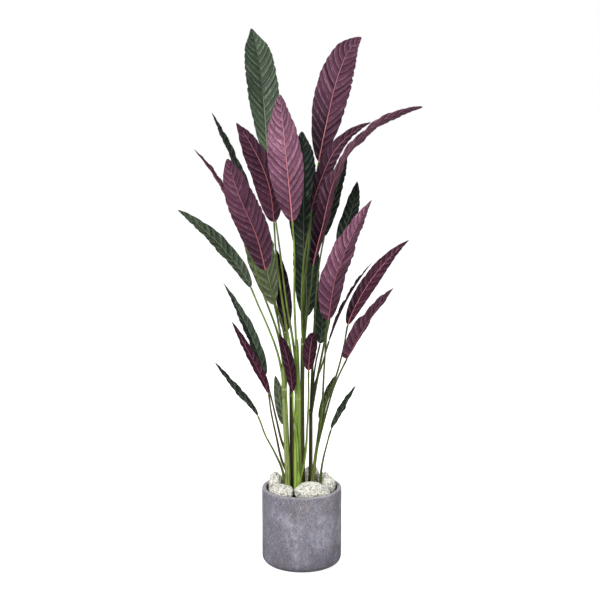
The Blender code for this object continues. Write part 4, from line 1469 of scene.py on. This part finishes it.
def blade_marks(given, sheet, reach, vein, half):
    """The numbers that the two face materials read, under their names."""
    far = reach.step(TIP_TONE_FROM, TIP_TONE_AT)
    left_tone = given["Left foot tone"] + (given["Left tip tone"] - given["Left foot tone"]) * far
    right_tone = given["Right foot tone"] + (given["Right tip tone"] - given["Right foot tone"]) * far
    tone = left_tone + (right_tone - left_tone) * sheet.across.step(-TONES_MEET, TONES_MEET)
    line = 1 - reach.step(given["Line end"] - LINE_FADE, given["Line end"])
    return {"vein": vein, "spread": sheet.spread, "tone": tone, "warmth": given["Warmth"],
            "from_rib": half * sheet.spread, "line": line}


print("the tones of the halves meet within", TONES_MEET, "of the half width")

# %% [markdown]
# The midrib stands out from the purple face as a slim tube that thins towards the tip. It is the
# midrib line itself, sunk a little into the back of the blade, with a ring swept along it, and it
# ends before the tip, where the real one fades into the blade.

# %% Add the midrib
RIB_SIDES = 10
RIB_END = 0.90
RIB_TAPER = 0.72
RIB_SINK = 0.55
RIB_DIVE = 18


def rib_tube(tree, given, midrib):
    up = Field(tree, add_node(tree, "GeometryNodeSplineParameter").outputs["Factor"])
    thin = given["Rib radius"] * (1 - up / RIB_END * RIB_TAPER)
    drop = (given["Thickness"] * 0.5 + thin * RIB_SINK) * (up * RIB_DIVE).calc("MINIMUM", 1.0) * -1
    rib = add_node(tree, "GeometryNodeSetPosition", {
        "Geometry": midrib,
        "Offset": arrows(tree, "SCALE", recall(tree, "upper", "FLOAT_VECTOR"), drop)}).outputs[0]
    rib = remember(tree, rib, "up", up)
    rib = add_node(tree, "GeometryNodeTrimCurve", {
        "Curve": rib, "Start": 0.0, "End": RIB_END}, mode="FACTOR").outputs[0]
    rib = sweep(tree, rib, round_ring(tree, RIB_SIDES), thin)
    rib = remember(tree, rib, "is_rib", True, "FACE", "BOOLEAN")
    for name, value in (("tone", given["Rib tone"]), ("green_rib", given["Green rib"])):
        rib = remember(tree, rib, name, value)
    return rib


print("a midrib ends at", RIB_END, "of its blade")

# %% [markdown]
# Now the tree is put together. The modifier gets only a loose line, the midrib, and the tree turns
# it into a curve, makes the grid, marks and moves it, closes its seam and its two ends by merging
# what lies together, and adds the tube. Three Set Material nodes share out the finishes.

# %% Put the leaf tree together
def leaf_tree():
    tree, given, end = geometry_tree("Leaf blade", BLADE_INPUTS)
    midrib = add_node(tree, "GeometryNodeMeshToCurve", {0: given["Geometry"]}).outputs[0]
    grid = add_node(tree, "GeometryNodeMeshGrid", {
        "Size X": 1.0, "Size Y": 1.0, "Vertices X": given["Columns"],
        "Vertices Y": given["Rows"]}).outputs["Mesh"]
    sheet = rolled_sheet(tree)
    reach = reach_along(sheet, given)
    vein = vein_number(tree, sheet, given)
    half = half_width(sheet, given, reach, vein)
    place = blade_place(tree, given, sheet, reach, vein, half, frame_beside(tree, midrib, reach))
    blade = remember(tree, grid, "underside", sheet.purple, "FACE", "BOOLEAN")
    for name, value in blade_marks(given, sheet, reach, vein, half).items():
        blade = remember(tree, blade, name, value)
    blade = add_node(tree, "GeometryNodeSetPosition", {"Geometry": blade, "Position": place}).outputs[0]
    blade = add_node(tree, "GeometryNodeMergeByDistance", {"Geometry": blade, "Distance": JOIN}).outputs[0]
    rib = rib_tube(tree, given, midrib)
    both = add_node(tree, "GeometryNodeJoinGeometry")
    plug(tree, rib, both.inputs[0])
    plug(tree, blade, both.inputs[0])
    whole = dress(tree, smooth_and_real(tree, both.outputs[0]), given["Green face"])
    whole = dress(tree, whole, given["Purple face"], recall(tree, "underside", "BOOLEAN"))
    whole = dress(tree, whole, given["Rib"], recall(tree, "is_rib", "BOOLEAN"))
    plug(tree, whole, end)
    return tree


LEAF_TREE = leaf_tree()
print("leaf tree of", len(LEAF_TREE.nodes), "nodes")

# %% [markdown]
# Each leaf gets light and shade painted into its colours. A leaf far inside the plant is painted
# darker, as the shade of the leaves round it, the foot of a blade is painted darker than its tip,
# and the half of a folded blade that turns away from the light is painted darker than the other.
# The table called PAINTED_LIGHT_AND_WARMTH gives each leaf this painted light and shade, where 1 is as light
# as the
# material and 0 is almost black: the left half at its foot and tip, as seen from the front, the
# right half at its foot and tip, and then how warm its hue is, which is the leaf's own colour. A
# blade that shows its purple side is seen from behind, so its halves change places. Shorter tables
# say which blades narrow to a sharper point, where the pale line on a face ends early, and how
# light a midrib is painted.

# %% Set the tones of the leaves
POINTED = {"leaf_front_3": 0.5, "leaf_middle_3": 0.4, "leaf_left_4": 0.3, "leaf_middle_2": 0.35,
           "leaf_middle_5": 0.2, "leaf_front_2": 0.35, "leaf_left_1": 0.2, "leaf_front_4": 0.4}
SHORT_LINE = {"leaf_front_3": 0.55}
USUAL_LINE = 0.85
# How light each midrib is painted: a low value lays painted shade over it.
RIB_PAINTED_LIGHT = {"leaf_front_1": 0.95, "leaf_middle_2": 0.5, "leaf_middle_1": 0.45, "leaf_middle_5": 0.5,
             "leaf_right_1": 0.3, "leaf_right_2": 0.65, "leaf_right_3": 0.4, "leaf_front_4": 0.12,
             "leaf_brown_1": 0.1, "leaf_brown_3": 0.05, "leaf_left_2": 0.45, "leaf_back_2": 0.4,
             "leaf_left_1": 0.42}
USUAL_RIB_PAINTED_LIGHT = 0.58
# Painted light and shade of each leaf's halves at foot and tip, then the warmth of its hue.
PAINTED_LIGHT_AND_WARMTH = {
    "leaf_front_1": (0.58, 1.00, 0.72, 0.98, 0.05), "leaf_right_1": (0.60, 0.98, 0.64, 0.84, 0.15),
    "leaf_left_1": (0.34, 0.66, 0.46, 0.60, 0.20), "leaf_front_2": (0.72, 0.48, 0.58, 0.54, 0.35),
    "leaf_middle_2": (0.04, 0.56, 0.56, 0.66, 0.10), "leaf_middle_1": (0.03, 0.44, 0.46, 0.44, 0.25),
    "leaf_middle_5": (0.00, 0.88, 0.55, 0.72, 0.20), "leaf_right_2": (0.16, 0.46, 0.56, 0.50, 0.65),
    "leaf_right_3": (0.70, 0.68, 0.60, 0.62, 0.25), "leaf_left_2": (0.45, 0.45, 0.40, 0.40, 0.60),
    "leaf_brown_1": (0.10, 0.10, 0.10, 0.10, 0.20), "leaf_brown_3": (0.35, 0.35, 0.38, 0.38, 0.90),
    "leaf_front_4": (0.36, 0.34, 0.32, 0.30, 0.70), "leaf_front_5": (0.40, 0.38, 0.34, 0.34, 0.70),
    "leaf_back_2": (0.32, 0.32, 0.32, 0.32, 0.50), "leaf_front_3": (1.00, 0.62, 0.86, 0.76, 0.12),
    "leaf_left_4": (1.00, 0.95, 1.00, 0.95, 0.60), "leaf_left_3": (0.84, 0.80, 0.84, 0.72, 0.20),
    "leaf_left_5": (0.28, 0.28, 0.28, 0.28, 0.20), "leaf_middle_3": (0.52, 0.00, 0.48, 0.00, 0.20),
    "leaf_middle_4": (0.38, 0.38, 0.38, 0.38, 0.15), "leaf_back_1": (0.62, 0.58, 0.54, 0.54, 0.10),
    "leaf_back_3": (0.28, 0.28, 0.25, 0.25, 0.10), "leaf_back_4": (0.30, 0.30, 0.27, 0.27, 0.10),
    "leaf_brown_2": (0.96, 0.96, 0.92, 0.92, 0.40), "leaf_brown_4": (0.56, 0.46, 0.90, 0.74, 0.00),
    "leaf_low_left": (0.40, 0.40, 0.40, 0.40, 0.20), "leaf_low_right": (0.40, 0.40, 0.40, 0.40, 0.30),
    "leaf_right_4": (0.66, 0.66, 0.66, 0.66, 0.90),
}
print("tones for", len(PAINTED_LIGHT_AND_WARMTH), "leaves")

# %% [markdown]
# A blade's midrib is the upper part of the line that its stalk began. Each of its points carries
# the direction in which the green face looks, and the angle of the keel. To find that direction,
# the front of the plant is made square to the line and then turned round it by the roll.

# %% Draw the midribs
MIDRIB_STEPS = 80
NUDGE = 0.002
FRONT = Vector((0, -1, 0))


def angle_at(degrees, u):
    """An angle, or the angle at a share of the length from a list of them, in radians."""
    if not isinstance(degrees, tuple):
        return math.radians(degrees)
    place = u * (len(degrees) - 1)
    i = min(int(place), len(degrees) - 2)
    share = place - i
    return math.radians(degrees[i] * (1 - share) + degrees[i + 1] * share)


def midrib_line(leaf):
    """The midrib as a loose line that carries the direction of the green face and the keel."""
    start, end, point_at = leaf_path(leaf)
    points = []
    uppers = []
    for i in range(MIDRIB_STEPS + 1):
        u = i / MIDRIB_STEPS
        distance = start + (end - start) * u
        along = (point_at(min(distance + NUDGE, end)) - point_at(distance - NUDGE)).normalized()
        front = (FRONT - along * FRONT.dot(along)).normalized()
        right = along.cross(front)
        roll = angle_at(leaf.roll, u)
        points.append(point_at(distance))
        uppers.append(front * math.cos(roll) + right * math.sin(roll))
    keels = [angle_at(leaf.keel, i / MIDRIB_STEPS) for i in range(MIDRIB_STEPS + 1)]
    return polyline(f"midrib_{leaf.name}", [(points, {"upper": uppers, "keel": keels})]), end - start


print("each midrib has", MIDRIB_STEPS + 1, "points")

# %% [markdown]
# At last the leaves grow. All blades share the sizes in the first table, and the rest comes from
# the list of leaves. Blades have more veins the longer they are, and the waves of their two edges
# are drawn at random, but from the name of the leaf, so each run gives the same plant.

# %% Grow the leaves
BLADE_LOOK = {
    "Vein sweep": 1.35, "Vein drift": 1.1, "Row crowding": 0.12, "Pleat": 0.0014, "Ruffle": 0.0012,
    "Puff": 0.0018, "Scallop": 0.085, "Edge wave": 0.09, "Wave length": 0.110,
    "Unevenness": 0.0035, "Thickness": 0.0009,
}
VEIN_SPACING = 0.021
FEWEST_VEINS = 7
ROWS_PER_VEIN = 8
SECTION_POINTS = 72
RIB_LEAST = 0.0006
RIB_SHARE = 0.0115
TONE_INPUTS = ("Left foot tone", "Left tip tone", "Right foot tone", "Right tip tone", "Warmth")


def make_leaf(leaf, slot):
    """The blade of a leaf, with the waves of its two edges drawn at random from its name."""
    line, length = midrib_line(leaf)
    veins = max(FEWEST_VEINS, round(length / VEIN_SPACING))
    draw = random.Random(leaf.name)
    left_phase = draw.uniform(0, TURN)
    right_phase = draw.uniform(0, TURN)
    tones = PAINTED_LIGHT_AND_WARMTH[leaf.name]
    if slot == "leaf_purple":
        tones = (*tones[2:4], *tones[:2], tones[4])
    name = leaf.name.replace("leaf", "blade")
    return grow(name, line, LEAF_TREE, {
        **BLADE_LOOK, **dict(zip(TONE_INPUTS, tones)),
        "Columns": SECTION_POINTS + 1, "Rows": veins * ROWS_PER_VEIN + 1, "Veins": float(veins),
        "Length": length, "Half width": leaf.width * CM / 2, "Foot": leaf.ends[0],
        "Tip": leaf.ends[1], "Point": POINTED.get(leaf.name, 0.0),
        "Left phase": left_phase, "Right phase": right_phase,
        "Rib radius": RIB_LEAST + RIB_SHARE * leaf.width * CM,
        "Green rib": float(slot == "leaf_green"),
        "Rib tone": RIB_PAINTED_LIGHT.get(leaf.name, USUAL_RIB_PAINTED_LIGHT),
        "Line end": SHORT_LINE.get(leaf.name, USUAL_LINE),
        "Green face": LEAF_GREEN, "Purple face": LEAF_PURPLE, "Rib": RIB})


SLOT_OF = {part["node"]: part["material_slot"] for part in frame["record"]["subparts"]}
face_count = 0
for shoot in SHOOTS:
    for leaf in shoot.leaves:
        blade = make_leaf(leaf, SLOT_OF[leaf.name])
        finish_piece(blade, leaf.name, SLOT_OF[leaf.name])
        face_count += len(blade.data.polygons)
print("leaves of", face_count, "faces in all")

# %% [markdown]
# Last, the view layer is brought up to date.

# %% Finish
bpy.context.view_layer.update()
